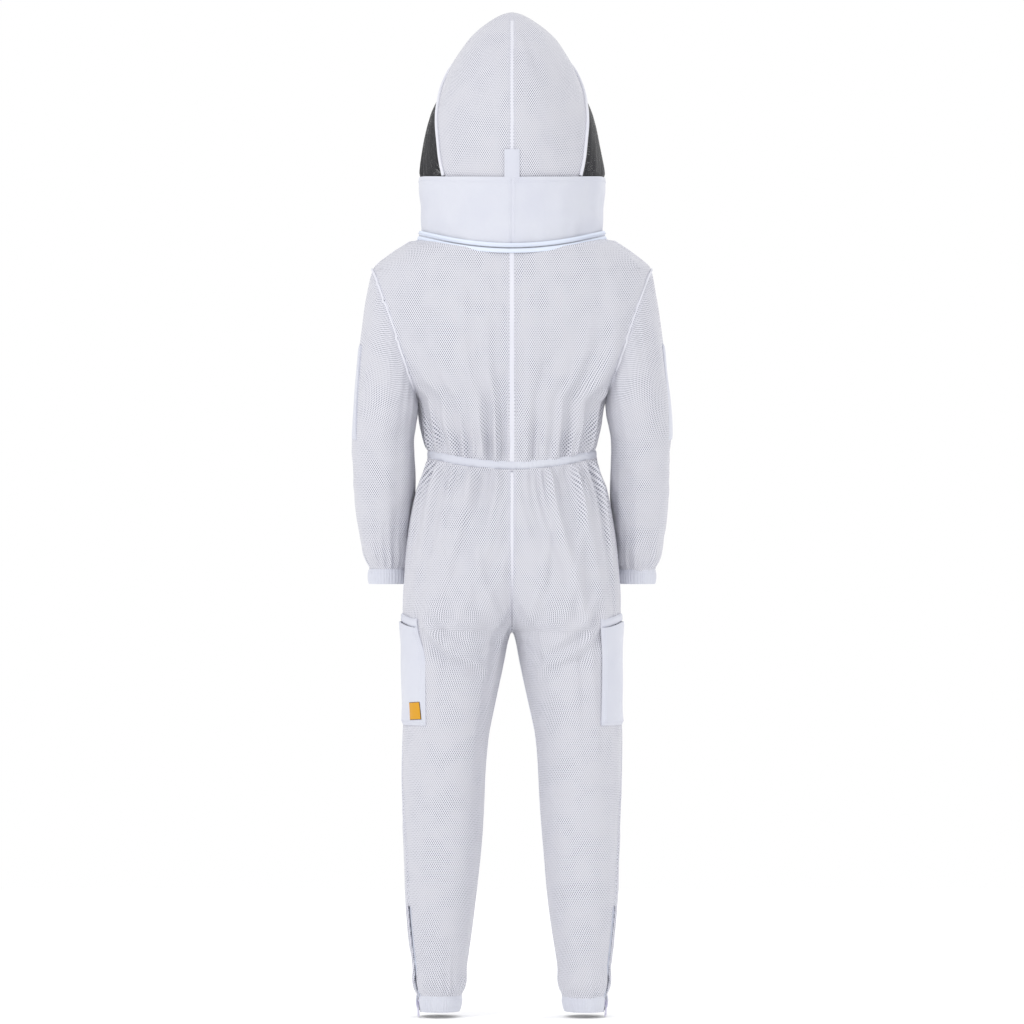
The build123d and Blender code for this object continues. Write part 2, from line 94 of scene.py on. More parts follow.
# height, outer side, inner side, front, back
LEG = [
    (-376, 150, -150, -133, 97), (-414, 158, -158, -133, 102), (-450, 172, -172, -133, 112),
    (-522, 184, -140, -133, 126), (-600, 192, -82, -129, 133), (-650, 195, -44, -121, 129),
    (-690, 195, -12, -111, 118), (-712, 195, 3, -106, 108), (-760, 195, 14, -101, 100),
    (-830, 195, 30, -96, 92), (-900, 198, 43, -91, 84), (-1010, 197, 51, -84, 74),
    (-1150, 193, 62, -70, 79), (-1190, 190.5, 66, -66, 78), (-1390, 168.5, 95, -41, 61),
]
# outer x and z, inner x and z, middle y, half depth
SLEEVE = [
    (250, -54, 167, -288, 4, 80), (264, -125, 168, -303, 2, 80), (274, -200, 169, -316, 0, 77),
    (283, -290, 173, -335, -4, 71), (287, -372, 178, -372, -12, 63), (284, -450, 176, -450, -25, 56),
    (273, -540, 184, -540, -42, 46), (259, -594, 191, -594, -52, 35), (258, -630, 192, -630, -56, 34),
]
# height and y of the seam between the hood's back and the veil
VEIL_SEAM = [
    (100, 99), (118, 95), (160, 83), (200, 66), (230, 47), (262, 14), (295, -25), (340, -58), (430, -74),
]


# ---------------------------------------------------------------- curves through the tables
def smooth(table):
    """Curve without overshoot through the rows of a table, by its first column."""
    rows = np.array(sorted(table), float)
    at, values = rows[:, 0], rows[:, 1:]
    step = np.diff(at)[:, None]
    slope = np.diff(values, axis=0) / step
    tangent = np.vstack([slope[:1], slope[:-1], slope[-1:]])[: len(rows)]
    product = slope[1:] * slope[:-1]
    total = np.where(slope[1:] + slope[:-1] == 0, 1, slope[1:] + slope[:-1])
    tangent[1:-1] = np.where(product > 0, 2 * product / total, 0)
    tangent[-1] = slope[-1]

    def value(t):
        t = np.asarray(t, float)
        k = np.clip(np.searchsorted(at, t) - 1, 0, len(at) - 2)
        h = at[k + 1] - at[k]
        s = np.clip((t - at[k]) / h, 0, 1)[..., None]
        h = h[..., None]
        low, high = values[k], values[k + 1]
        return (
            low * (1 + 2 * s) * (1 - s) ** 2 + high * s ** 2 * (3 - 2 * s)
            + tangent[k] * h * s * (1 - s) ** 2 - tangent[k + 1] * h * s ** 2 * (1 - s)
        )

    return value


torso_shape, hood_shape, leg_shape = smooth(TORSO), smooth(HOOD), smooth(LEG)
sleeve_shape = smooth([(row, *values) for row, values in enumerate(SLEEVE)])
veil_seam = smooth(VEIL_SEAM)


def dip(x, low, radius):
    """Height of a line that dips to `low` at the centre."""
    return low + radius - np.sqrt(radius ** 2 - np.asarray(x, float) ** 2)


def ramp(value, start, end):
    """0 before start, 1 after end, smooth between."""
    t = np.clip((np.asarray(value, float) - start) / (end - start), 0, 1)
    return t * t * (3 - 2 * t)


def spread(length, step=GRID_STEP, seams=(0, 1)):
    """Fractions from 0 to 1 with extra lines close to the seams."""
    marks = set(np.linspace(0, 1, max(3, int(length / step) + 1)))
    for seam in seams:
        for near in (1.2, 2.6, 4.5, 7.0):
            for side in (-1, 1):
                place = seam + side * near / length
                if 0 < place < 1:
                    marks.add(place)
    marks = sorted(marks)
    kept = [marks[0]]
    for mark in marks[1:]:
        if (mark - kept[-1]) * length > 0.9:
            kept.append(mark)
    kept[-1] = 1.0
    return np.array(kept)


def ring_points(shape, z, angle):
    """Points on an upright oval shell; angle 0 is the wearer's left and a quarter turn is the back."""
    half_width, front, back = np.moveaxis(shape(z), -1, 0)
    x = half_width * np.cos(angle)
    y = (front + back) / 2 + (back - front) / 2 * np.sin(angle)
    return np.stack([x, y, np.broadcast_to(z, x.shape)], -1)


def leg_oval(z):
    """Middle x, middle y, half width and half depth of the left leg."""
    outer, inner, front, back = np.moveaxis(leg_shape(z), -1, 0)
    return (outer + inner) / 2, (front + back) / 2, (outer - inner) / 2, (back - front) / 2


def leg_points(z, angle):
    middle_x, middle_y, half_width, half_depth = leg_oval(z)
    x = middle_x + half_width * np.cos(angle)
    y = middle_y + half_depth * np.sin(angle)
    return np.stack([x, y, np.broadcast_to(z, x.shape)], -1)


# ---------------------------------------------------------------- folds
def noise_at(points, scale, seed):
    """Smooth noise from -1 to 1 at points, stretched by a scale in millimetres along each axis."""
    flat = points.reshape(-1, points.shape[-1]) / np.array(scale)
    values = [noise.noise(Vector((p[0] + 17.3 * seed, p[1] - 9.1 * seed, p[2] + 5.7))) for p in flat]
    return np.array(values).reshape(points.shape[:-1])


def noise_line(s, scale, seed):
    """Smooth noise along a line."""
    places = np.asarray(s, float).ravel() / scale
    values = [noise.noise(Vector((p, 3.1 * seed, 0.5))) for p in places]
    return np.array(values).reshape(np.shape(s))


def body_swell(world):
    """Broad swell of the body's cloth, shared by all that is sewn onto it."""
    return 3.0 * noise_at(world, (120, 120, 150), 3)


def leg_swell(world):
    """Broad swell of the legs' cloth, shared by all that is sewn onto them."""
    return 3.4 * noise_at(world, (110, 120, 170), 31)


def from_edges(across, down):
    """Distance to the nearest of a patch's four edges."""
    return np.minimum(np.minimum(across, across[:, -1:] - across), np.minimum(down, down[-1:] - down))


GATHER_ORDERS = ((11, 26, 0.5), (21, 75, 1.9), (34, 135, 2.7), (58, 230, 2.0))    # pitch, reach, height


def gathers(s, away, strength, seed, size=1.0):
    """Pleats that run away from a gathered line; s is the place along it and away the distance from it."""
    s, away = s / size, np.maximum(away, 0) / size
    total = np.zeros(np.broadcast(s, away).shape)
    for order, (pitch, reach, height) in enumerate(GATHER_ORDERS):
        bent = s + 0.8 * pitch * noise_line(s, 2.4 * pitch, seed + order)
        share = 0.35 + 1.5 * np.abs(noise_line(s, 1.9 * pitch, seed + 7 + order))
        local_reach = reach * (0.6 + 1.3 * np.abs(noise_line(s, 2.2 * pitch, seed + 3 + order)))
        pleat = 2.2 * (0.5 + 0.5 * np.cos(2 * pi * bent / pitch)) ** 1.7 - 0.8
        fade = np.exp(-(away / local_reach) ** 1.5) * (1 - np.exp(-away / 8.0))
        total = total + height * share * pleat * fade
    return strength * size * total


def seam_groove(distance):
    """Cloth rolls up beside a seam and dips into it."""
    return 0.7 * np.exp(-((distance - 5) / 2.6) ** 2) - 1.5 * np.exp(-(distance / 1.5) ** 2)


def grid_normals(points, outward):
    """Unit normals of a grid of points, turned to the side of `outward`."""
    along = np.gradient(points, axis=0)
    across = np.gradient(points, axis=1)
    normal = np.cross(along, across)
    length = np.linalg.norm(normal, axis=-1, keepdims=True)
    normal = normal / np.where(length < 1e-9, 1, length)
    flip = np.sign((normal * outward).sum(-1, keepdims=True))
    return normal * np.where(flip == 0, 1, flip)


def arc_lengths(points, axis):
    """Distance from the first line of the grid, along an axis."""
    step = np.linalg.norm(np.diff(points, axis=axis), axis=-1)
    start = np.zeros_like(np.take(step, [0], axis=axis))
    return np.concatenate([start, np.cumsum(step, axis=axis)], axis=axis)


# ---------------------------------------------------------------- meshes
def link(mesh, name, material):
    mesh.materials.clear()
    mesh.materials.append(material)
    piece = bpy.data.objects.new(name, mesh)
    bpy.context.scene.collection.objects.link(piece)
    return piece


def settle(piece, sharp=40):
    """Apply a piece's modifiers and keep its thin edges crisp."""
    graph = bpy.context.evaluated_depsgraph_get()
    mesh = bpy.data.meshes.new_from_object(piece.evaluated_get(graph))
    materials = list(piece.data.materials)
    piece.modifiers.clear()
    old = piece.data
    piece.data = mesh
    bpy.data.meshes.remove(old)
    if not mesh.materials:
        for material in materials:
            mesh.materials.append(material)
    mesh.polygons.foreach_set("use_smooth", [True] * len(mesh.polygons))
    mesh.set_sharp_from_angle(angle=radians(sharp))
    return piece


def grid_piece(name, points, material, thick, outward, weave=None, side=1):
    """Cloth through a grid of points in mm, thickened inwards, its weave in metres in a UV map."""
    rows, columns = points.shape[:2]
    if weave is None:
        weave = np.stack([arc_lengths(points, 1), arc_lengths(points, 0)], -1)
    placed = points * np.array([side, 1, 1]) * MM
    facing = outward * np.array([side, 1, 1])
    index = np.arange(rows * columns).reshape(rows, columns)
    faces = np.stack([index[:-1, :-1], index[:-1, 1:], index[1:, 1:], index[1:, :-1]], -1).reshape(-1, 4)
    flat = placed.reshape(-1, 3)
    corner = flat[faces]
    normal = np.cross(corner[:, 2] - corner[:, 0], corner[:, 3] - corner[:, 1])
    if (normal * facing.reshape(-1, 3)[faces[:, 0]]).sum() < 0:
        faces = faces[:, ::-1]
    mesh = bpy.data.meshes.new(name)
    mesh.from_pydata(flat.tolist(), [], faces.tolist())
    layer = mesh.uv_layers.new(name="weave")
    uv = (weave * MM).reshape(-1, 2)[faces.ravel()]
    layer.data.foreach_set("uv", uv.astype(np.float32).ravel())
    shape = bmesh.new()
    shape.from_mesh(mesh)
    bmesh.ops.remove_doubles(shape, verts=shape.verts, dist=0.02 * MM)
    bmesh.ops.dissolve_degenerate(shape, edges=shape.edges, dist=0.01 * MM)
    shape.to_mesh(mesh)
    shape.free()
    piece = link(mesh, name, material)
    if thick:
        wall = piece.modifiers.new("wall", "SOLIDIFY")
        wall.thickness = thick * MM
        wall.offset = -1
    return settle(piece)


def tube_piece(name, path, radius, material, sides=10, flat=1.0):
    """Round cord along a path in millimetres, closed at both ends."""
    path = np.array(path, float)
    tangent = np.gradient(path, axis=0)
    tangent /= np.linalg.norm(tangent, axis=1, keepdims=True)
    frame_x = np.zeros_like(path)
    last = np.cross(tangent[0], (0.31, 0.57, 0.76))
    for i, direction in enumerate(tangent):
        last = last - direction * np.dot(last, direction)
        last = last / np.linalg.norm(last)
        frame_x[i] = last
    frame_y = np.cross(tangent, frame_x)
    turn = np.linspace(0, 2 * pi, sides, endpoint=False)
    rim = path[:, None] + radius * (
        np.cos(turn)[None, :, None] * frame_x[:, None]
        + flat * np.sin(turn)[None, :, None] * frame_y[:, None]
    )
    count = len(path)
    vertices = (rim.reshape(-1, 3) * MM).tolist()
    faces = []
    for i in range(count - 1):
        for j in range(sides):
            k = (j + 1) % sides
            faces.append((i * sides + j, i * sides + k, (i + 1) * sides + k, (i + 1) * sides + j))
    faces.append(tuple(reversed(range(sides))))
    faces.append(tuple(range((count - 1) * sides, count * sides)))
    mesh = bpy.data.meshes.new(name)
    mesh.from_pydata(vertices, [], faces)
    layer = mesh.uv_layers.new(name="weave")
    run = arc_lengths(path[:, None], 0)[:, 0]
    for loop in mesh.loops:
        i, j = divmod(loop.vertex_index, sides)
        layer.data[loop.index].uv = (j / sides * 2 * pi * radius * MM, run[i] * MM)
    return settle(link(mesh, name, material), sharp=60)


def paths_mesh(name, paths):
    """Edges along the paths; each path is (points, outward, across)."""
    vertices, edges, outs, sides = [], [], [], []
    for points, outward, across in paths:
        start = len(vertices)
        vertices += (np.asarray(points) * MM).tolist()
        outs += np.broadcast_to(outward, np.shape(points)).tolist()
        sides += np.broadcast_to(across, np.shape(points)).tolist()
        edges += [(start + i, start + i + 1) for i in range(len(points) - 1)]
    mesh = bpy.data.meshes.new(name)
    mesh.from_pydata(vertices, edges, [])
    for label, values in (("outward", outs), ("across", sides)):
        attribute = mesh.attributes.new(label, "FLOAT_VECTOR", "POINT")
        attribute.data.foreach_set("vector", np.array(values, np.float32).ravel())
    return mesh


def row_tree(name, lie_across):
    """Geometry nodes that set small rounded bars along a path, lengthways or across it."""
    tree = bpy.data.node_groups.new(name, "GeometryNodeTree")
    face = tree.interface
    face.new_socket("Geometry", in_out="INPUT", socket_type="NodeSocketGeometry")
    for label in ("Spacing", "Width", "Height", "Length"):
        face.new_socket(label, in_out="INPUT", socket_type="NodeSocketFloat")
    face.new_socket("Material", in_out="INPUT", socket_type="NodeSocketMaterial")
    face.new_socket("Geometry", in_out="OUTPUT", socket_type="NodeSocketGeometry")
    entry = tree.nodes.new("NodeGroupInput")
    to_curve = tree.nodes.new("GeometryNodeMeshToCurve")
    resample = tree.nodes.new("GeometryNodeResampleCurve")
    resample.mode = "LENGTH"
    bar = tree.nodes.new("GeometryNodeMeshUVSphere")
    bar.inputs["Segments"].default_value = 6
    bar.inputs["Rings"].default_value = 4
    bar.inputs["Radius"].default_value = 0.5
    outward = tree.nodes.new("GeometryNodeInputNamedAttribute")
    outward.data_type = "FLOAT_VECTOR"
    outward.inputs["Name"].default_value = "outward"
    turn = tree.nodes.new("FunctionNodeAxesToRotation")
    turn.primary_axis, turn.secondary_axis = "Z", "X"
    if lie_across:
        lengthways = tree.nodes.new("GeometryNodeInputNamedAttribute")
        lengthways.data_type = "FLOAT_VECTOR"
        lengthways.inputs["Name"].default_value = "across"
        direction = lengthways.outputs["Attribute"]
    else:
        lengthways = tree.nodes.new("GeometryNodeInputTangent")
        direction = lengthways.outputs["Tangent"]
    size = tree.nodes.new("ShaderNodeCombineXYZ")
    place = tree.nodes.new("GeometryNodeInstanceOnPoints")
    realize = tree.nodes.new("GeometryNodeRealizeInstances")
    paint = tree.nodes.new("GeometryNodeSetMaterial")
    leave = tree.nodes.new("NodeGroupOutput")
    order = (entry, to_curve, resample, bar, outward, lengthways, turn, size, place, realize, paint, leave)
    for column, node in enumerate(order):
        node.location = (column * 190, 0)
    links = tree.links
    links.new(entry.outputs["Geometry"], to_curve.inputs["Mesh"])
    links.new(to_curve.outputs["Curve"], resample.inputs["Curve"])
    links.new(entry.outputs["Spacing"], resample.inputs["Length"])
    links.new(direction, turn.inputs["Primary Axis"])
    links.new(outward.outputs["Attribute"], turn.inputs["Secondary Axis"])
    links.new(entry.outputs["Height"], size.inputs["X"])
    links.new(entry.outputs["Width"], size.inputs["Y"])
    links.new(entry.outputs["Length"], size.inputs["Z"])
    links.new(resample.outputs["Curve"], place.inputs["Points"])
    links.new(bar.outputs["Mesh"], place.inputs["Instance"])
    links.new(turn.outputs["Rotation"], place.inputs["Rotation"])
    links.new(size.outputs["Vector"], place.inputs["Scale"])
    links.new(place.outputs["Instances"], realize.inputs["Geometry"])
    links.new(realize.outputs["Geometry"], paint.inputs["Geometry"])
    links.new(entry.outputs["Material"], paint.inputs["Material"])
    links.new(paint.outputs["Geometry"], leave.inputs["Geometry"])
    return tree


stitch_tree = row_tree("stitch rows", False)
coil_tree = row_tree("zip coil", True)


def bars_along(name, paths, tree, material, spacing, width, height, length):
    """Stitches or coil bars along paths, as one plain mesh."""
    piece = link(paths_mesh(name, paths), name, material)
    row = piece.modifiers.new("row", "NODES")
    row.node_group = tree
    sizes = {"Spacing": spacing * MM, "Width": width * MM, "Height": height * MM, "Length": length * MM}
    for item in tree.interface.items_tree:
        if item.in_out == "INPUT" and item.name in sizes:
            row[item.identifier] = sizes[item.name]
        elif item.in_out == "INPUT" and item.name == "Material":
            row[item.identifier] = material
    return settle(piece, sharp=180)


def stitches(name, paths, spacing=3.4):
    return bars_along(name, paths, stitch_tree, thread, spacing, 0.75, 0.6, 2.5)


# ---------------------------------------------------------------- materials
def spacer_knit(name, yarn, depth, pitch_x, pitch_y, hole):
    """Three-layer mesh: knitted face with staggered oval holes, whose inner layer carries painted shade."""
    material = bpy.data.materials.new(name)
    material.use_nodes = True
    nodes, links = material.node_tree.nodes, material.node_tree.links
    nodes.clear()
    weave = nodes.new("ShaderNodeUVMap")
    weave.label = "along the cloth, in metres"
    weave.uv_map = "weave"
    cells = nodes.new("ShaderNodeMapping")
    cells.label = "one cell of the knit"
    cells.inputs["Scale"].default_value = (1 / pitch_x, 1 / pitch_y, 1)
    drift = nodes.new("ShaderNodeTexNoise")
    drift.label = "uneven courses"
    drift.inputs["Scale"].default_value = 0.35
    drift.inputs["Detail"].default_value = 1
    slip = nodes.new("ShaderNodeVectorMath")
    slip.label = "course shifted a little"
    slip.operation = "MULTIPLY_ADD"
    slip.inputs[1].default_value = (0.2, 0.2, 0)
    row_a = nodes.new("ShaderNodeVectorMath")
    row_a.label = "place in an even row"
    row_a.operation = "FRACTION"
    middle_a = nodes.new("ShaderNodeVectorMath")
    middle_a.label = "from the even hole's middle"
    middle_a.operation = "SUBTRACT"
    middle_a.inputs[1].default_value = (0.5, 0.5, 0)
    reach_a = nodes.new("ShaderNodeVectorMath")
    reach_a.label = "distance to an even hole"
    reach_a.operation = "LENGTH"
    half_step = nodes.new("ShaderNodeVectorMath")
    half_step.label = "odd rows half a cell on"
    half_step.operation = "ADD"
    half_step.inputs[1].default_value = (0.5, 0.5, 0)
    row_b = nodes.new("ShaderNodeVectorMath")
    row_b.label = "place in an odd row"
    row_b.operation = "FRACTION"
    middle_b = nodes.new("ShaderNodeVectorMath")
    middle_b.label = "from the odd hole's middle"
    middle_b.operation = "SUBTRACT"
    middle_b.inputs[1].default_value = (0.5, 0.5, 0)
    reach_b = nodes.new("ShaderNodeVectorMath")
    reach_b.label = "distance to an odd hole"
    reach_b.operation = "LENGTH"
    nearest = nodes.new("ShaderNodeMath")
    nearest.label = "nearest hole"
    nearest.operation = "MINIMUM"
    rim = nodes.new("ShaderNodeMapRange")
    rim.label = "hole with a soft rim"
    rim.interpolation_type = "SMOOTHSTEP"
    rim.inputs["From Min"].default_value = hole * 0.72
    rim.inputs["From Max"].default_value = hole * 1.3
    rim.inputs["To Min"].default_value = 1
    rim.inputs["To Max"].default_value = 0
    place = nodes.new("ShaderNodeTexCoord")
    place.label = "place on the suit"
    pressed = nodes.new("ShaderNodeTexNoise")
    pressed.label = "where the knit is pressed closed"
    pressed.inputs["Scale"].default_value = 22
    pressed.inputs["Detail"].default_value = 1
    opened = nodes.new("ShaderNodeMapRange")
    opened.label = "how open the holes are"
    opened.inputs["From Min"].default_value = 0.34
    opened.inputs["From Max"].default_value = 0.62
    opened.inputs["To Min"].default_value = 0.45
    seen = nodes.new("ShaderNodeMath")
    seen.label = "open holes"
    seen.operation = "MULTIPLY"
    tone = nodes.new("ShaderNodeMix")
    tone.label = "yarn colour"
    tone.data_type = "RGBA"
    tone.inputs["A"].default_value = (*(c * 0.78 for c in yarn), 1)
    tone.inputs["B"].default_value = (*yarn, 1)
    # painted shade: the holes are darkened towards the depth colour, standing for shade in the recess over
    # the inner layer
    inner = nodes.new("ShaderNodeMix")
    inner.label = "painted shade in the holes over the inner layer"
    inner.data_type = "RGBA"
    inner.inputs["B"].default_value = (*depth, 1)
    fibre = nodes.new("ShaderNodeTexNoise")
    fibre.label = "knit fibres"
    fibre.inputs["Scale"].default_value = 900
    fibre.inputs["Detail"].default_value = 2
    relief = nodes.new("ShaderNodeMath")
    relief.label = "fibres less the holes"
    relief.operation = "MULTIPLY_ADD"
    relief.inputs[1].default_value = -2.2
    bump = nodes.new("ShaderNodeBump")
    bump.label = "holes sink into the cloth"
    bump.inputs["Strength"].default_value = 0.35
    bump.inputs["Distance"].default_value = 0.0006
    shader = nodes.new("ShaderNodeBsdfPrincipled")
    shader.label = "polyester yarn"
    shader.inputs["Roughness"].default_value = 0.78
    shader.inputs["Sheen Weight"].default_value = 0.25
    shader.inputs["Sheen Roughness"].default_value = 0.5
    shader.inputs["Specular IOR Level"].default_value = 0.25
    output = nodes.new("ShaderNodeOutputMaterial")
    output.label = "mesh cloth"
    groups = (
        ("cells along the cloth", (weave, cells, drift, slip)),
        ("staggered holes", (
            row_a, middle_a, reach_a, half_step, row_b, middle_b, reach_b,
            nearest, rim, pressed, opened, seen,
        )),
        ("yarn and painted shade in the holes", (place, tone, inner)),
        ("relief", (fibre, relief, bump)),
        ("cloth", (shader, output)),
    )
    lay_out(nodes, groups)
    links.new(weave.outputs["UV"], cells.inputs["Vector"])
    links.new(cells.outputs["Vector"], drift.inputs["Vector"])
    links.new(drift.outputs["Color"], slip.inputs[0])
    links.new(cells.outputs["Vector"], slip.inputs[2])
    links.new(slip.outputs["Vector"], row_a.inputs[0])
    links.new(row_a.outputs["Vector"], middle_a.inputs[0])
    links.new(middle_a.outputs["Vector"], reach_a.inputs[0])
    links.new(slip.outputs["Vector"], half_step.inputs[0])
    links.new(half_step.outputs["Vector"], row_b.inputs[0])
    links.new(row_b.outputs["Vector"], middle_b.inputs[0])
    links.new(middle_b.outputs["Vector"], reach_b.inputs[0])
    links.new(reach_a.outputs["Value"], nearest.inputs[0])
    links.new(reach_b.outputs["Value"], nearest.inputs[1])
    links.new(nearest.outputs["Value"], rim.inputs["Value"])
    links.new(place.outputs["Object"], fibre.inputs["Vector"])
    links.new(opened.outputs["Result"], tone.inputs["Factor"])
    links.new(tone.outputs["Result"], inner.inputs["A"])
    links.new(place.outputs["Object"], pressed.inputs["Vector"])
    links.new(pressed.outputs["Fac"], opened.inputs["Value"])
    links.new(rim.outputs["Result"], seen.inputs[0])
    links.new(opened.outputs["Result"], seen.inputs[1])
    links.new(seen.outputs["Value"], inner.inputs["Factor"])
    links.new(inner.outputs["Result"], shader.inputs["Base Color"])
    links.new(rim.outputs["Result"], relief.inputs[0])
    links.new(fibre.outputs["Fac"], relief.inputs[2])
    links.new(relief.outputs["Value"], bump.inputs["Height"])
    links.new(bump.outputs["Normal"], shader.inputs["Normal"])
    links.new(shader.outputs["BSDF"], output.inputs["Surface"])
    return material


def lay_out(nodes, groups):
    """Places each group of nodes in its own labelled frame."""
    for row, (label, members) in enumerate(groups):
        frame_node = nodes.new("NodeFrame")
        frame_node.label = label
        for column, member in enumerate(members):
            member.parent = frame_node
            member.location = (column * 210, -row * 420)


def twill(name, colour, pitch, relief, roughness, sheen):
    """Close woven cloth or tape with a diagonal rib."""
    material = bpy.data.materials.new(name)
    material.use_nodes = True
    nodes, links = material.node_tree.nodes, material.node_tree.links
    nodes.clear()
    weave = nodes.new("ShaderNodeUVMap")
    weave.label = "along the cloth, in metres"
    weave.uv_map = "weave"
    ribs = nodes.new("ShaderNodeTexWave")
    ribs.label = "diagonal rib"
    ribs.bands_direction = "DIAGONAL"
    ribs.inputs["Scale"].default_value = 0.12 / pitch
    ribs.inputs["Distortion"].default_value = 0.6
    threads = nodes.new("ShaderNodeTexWave")
    threads.label = "threads across"
    threads.bands_direction = "Y"
    threads.inputs["Scale"].default_value = 0.3 / pitch
    threads.inputs["Distortion"].default_value = 0.4
    crossing = nodes.new("ShaderNodeMath")
    crossing.label = "rib over thread"
    crossing.operation = "MULTIPLY_ADD"
    crossing.inputs[1].default_value = 0.6
    place = nodes.new("ShaderNodeTexCoord")
    place.label = "place on the suit"
    blotch = nodes.new("ShaderNodeTexNoise")
    blotch.label = "slow change of tone"
    blotch.inputs["Scale"].default_value = 14
    blotch.inputs["Detail"].default_value = 4
    slubs = nodes.new("ShaderNodeMapRange")
    slubs.label = "tone kept subtle"
    slubs.inputs["From Min"].default_value = 0.25
    slubs.inputs["From Max"].default_value = 0.75
    tone = nodes.new("ShaderNodeMix")
    tone.label = "cloth colour"
    tone.data_type = "RGBA"
    tone.inputs["A"].default_value = (*colour, 1)
    tone.inputs["B"].default_value = (*(c * 0.93 for c in colour[:2]), colour[2] * 0.96, 1)
    bump = nodes.new("ShaderNodeBump")
    bump.label = "thread relief"
    bump.inputs["Strength"].default_value = relief
    bump.inputs["Distance"].default_value = 0.0003
    shader = nodes.new("ShaderNodeBsdfPrincipled")
    shader.label = "woven thread"
    shader.inputs["Roughness"].default_value = roughness
    shader.inputs["Sheen Weight"].default_value = sheen
    shader.inputs["Specular IOR Level"].default_value = 0.25
    output = nodes.new("ShaderNodeOutputMaterial")
    output.label = "woven cloth"
    groups = (
        ("twill rib and threads", (weave, ribs, threads, crossing, bump)),
        ("tone", (place, blotch, slubs, tone)),
        ("cloth", (shader, output)),
    )
    lay_out(nodes, groups)
    links.new(weave.outputs["UV"], ribs.inputs["Vector"])
    links.new(weave.outputs["UV"], threads.inputs["Vector"])
    links.new(ribs.outputs["Fac"], crossing.inputs[0])
    links.new(threads.outputs["Fac"], crossing.inputs[2])
    links.new(crossing.outputs["Value"], bump.inputs["Height"])
    links.new(place.outputs["Object"], blotch.inputs["Vector"])
    links.new(blotch.outputs["Fac"], slubs.inputs["Value"])
    links.new(slubs.outputs["Result"], tone.inputs["Factor"])
    links.new(tone.outputs["Result"], shader.inputs["Base Color"])
    links.new(bump.outputs["Normal"], shader.inputs["Normal"])
    links.new(shader.outputs["BSDF"], output.inputs["Surface"])
    return material


def net(name, colour, pitch, hole):
    """Fine black netting: thread between square openings that let the light through."""
    material = bpy.data.materials.new(name)
    material.use_nodes = True
    nodes, links = material.node_tree.nodes, material.node_tree.links
    nodes.clear()
    weave = nodes.new("ShaderNodeUVMap")
    weave.label = "along the net, in metres"
    weave.uv_map = "weave"
    cells = nodes.new("ShaderNodeMapping")
    cells.label = "one opening of the net"
    cells.inputs["Scale"].default_value = (1 / pitch, 1 / pitch, 1)
    cells.inputs["Rotation"].default_value = (0, 0, radians(45))
    spot = nodes.new("ShaderNodeVectorMath")
    spot.label = "place in the opening"
    spot.operation = "FRACTION"
    middle = nodes.new("ShaderNodeVectorMath")
    middle.label = "from the opening's middle"
    middle.operation = "SUBTRACT"
    middle.inputs[1].default_value = (0.5, 0.5, 0)
    reach = nodes.new("ShaderNodeVectorMath")
    reach.label = "distance to the middle"
    reach.operation = "LENGTH"
    thread_mask = nodes.new("ShaderNodeMapRange")
    thread_mask.label = "thread or opening"
    thread_mask.inputs["From Min"].default_value = hole * 0.85
    thread_mask.inputs["From Max"].default_value = hole * 1.1
    place = nodes.new("ShaderNodeTexCoord")
    place.label = "place on the suit"
    wear = nodes.new("ShaderNodeTexNoise")
    wear.label = "thread tone"
    wear.inputs["Scale"].default_value = 30
    tone = nodes.new("ShaderNodeMix")
    tone.label = "thread colour"
    tone.data_type = "RGBA"
    tone.inputs["A"].default_value = (*colour, 1)
    tone.inputs["B"].default_value = (*(c * 1.8 for c in colour), 1)
    shader = nodes.new("ShaderNodeBsdfPrincipled")
    shader.label = "black net thread"
    shader.inputs["Roughness"].default_value = 0.6
    shader.inputs["Specular IOR Level"].default_value = 0.3
    output = nodes.new("ShaderNodeOutputMaterial")
    output.label = "netting"
    groups = (
        ("openings", (weave, cells, spot, middle, reach, thread_mask)),
        ("thread", (place, wear, tone)),
        ("net", (shader, output)),
    )
    lay_out(nodes, groups)
    links.new(weave.outputs["UV"], cells.inputs["Vector"])
    links.new(cells.outputs["Vector"], spot.inputs[0])
    links.new(spot.outputs["Vector"], middle.inputs[0])
    links.new(middle.outputs["Vector"], reach.inputs[0])
    links.new(reach.outputs["Value"], thread_mask.inputs["Value"])
    links.new(place.outputs["Object"], wear.inputs["Vector"])
    links.new(wear.outputs["Fac"], tone.inputs["Factor"])
    links.new(tone.outputs["Result"], shader.inputs["Base Color"])
    links.new(thread_mask.outputs["Result"], shader.inputs["Alpha"])
    links.new(shader.outputs["BSDF"], output.inputs["Surface"])
    return material


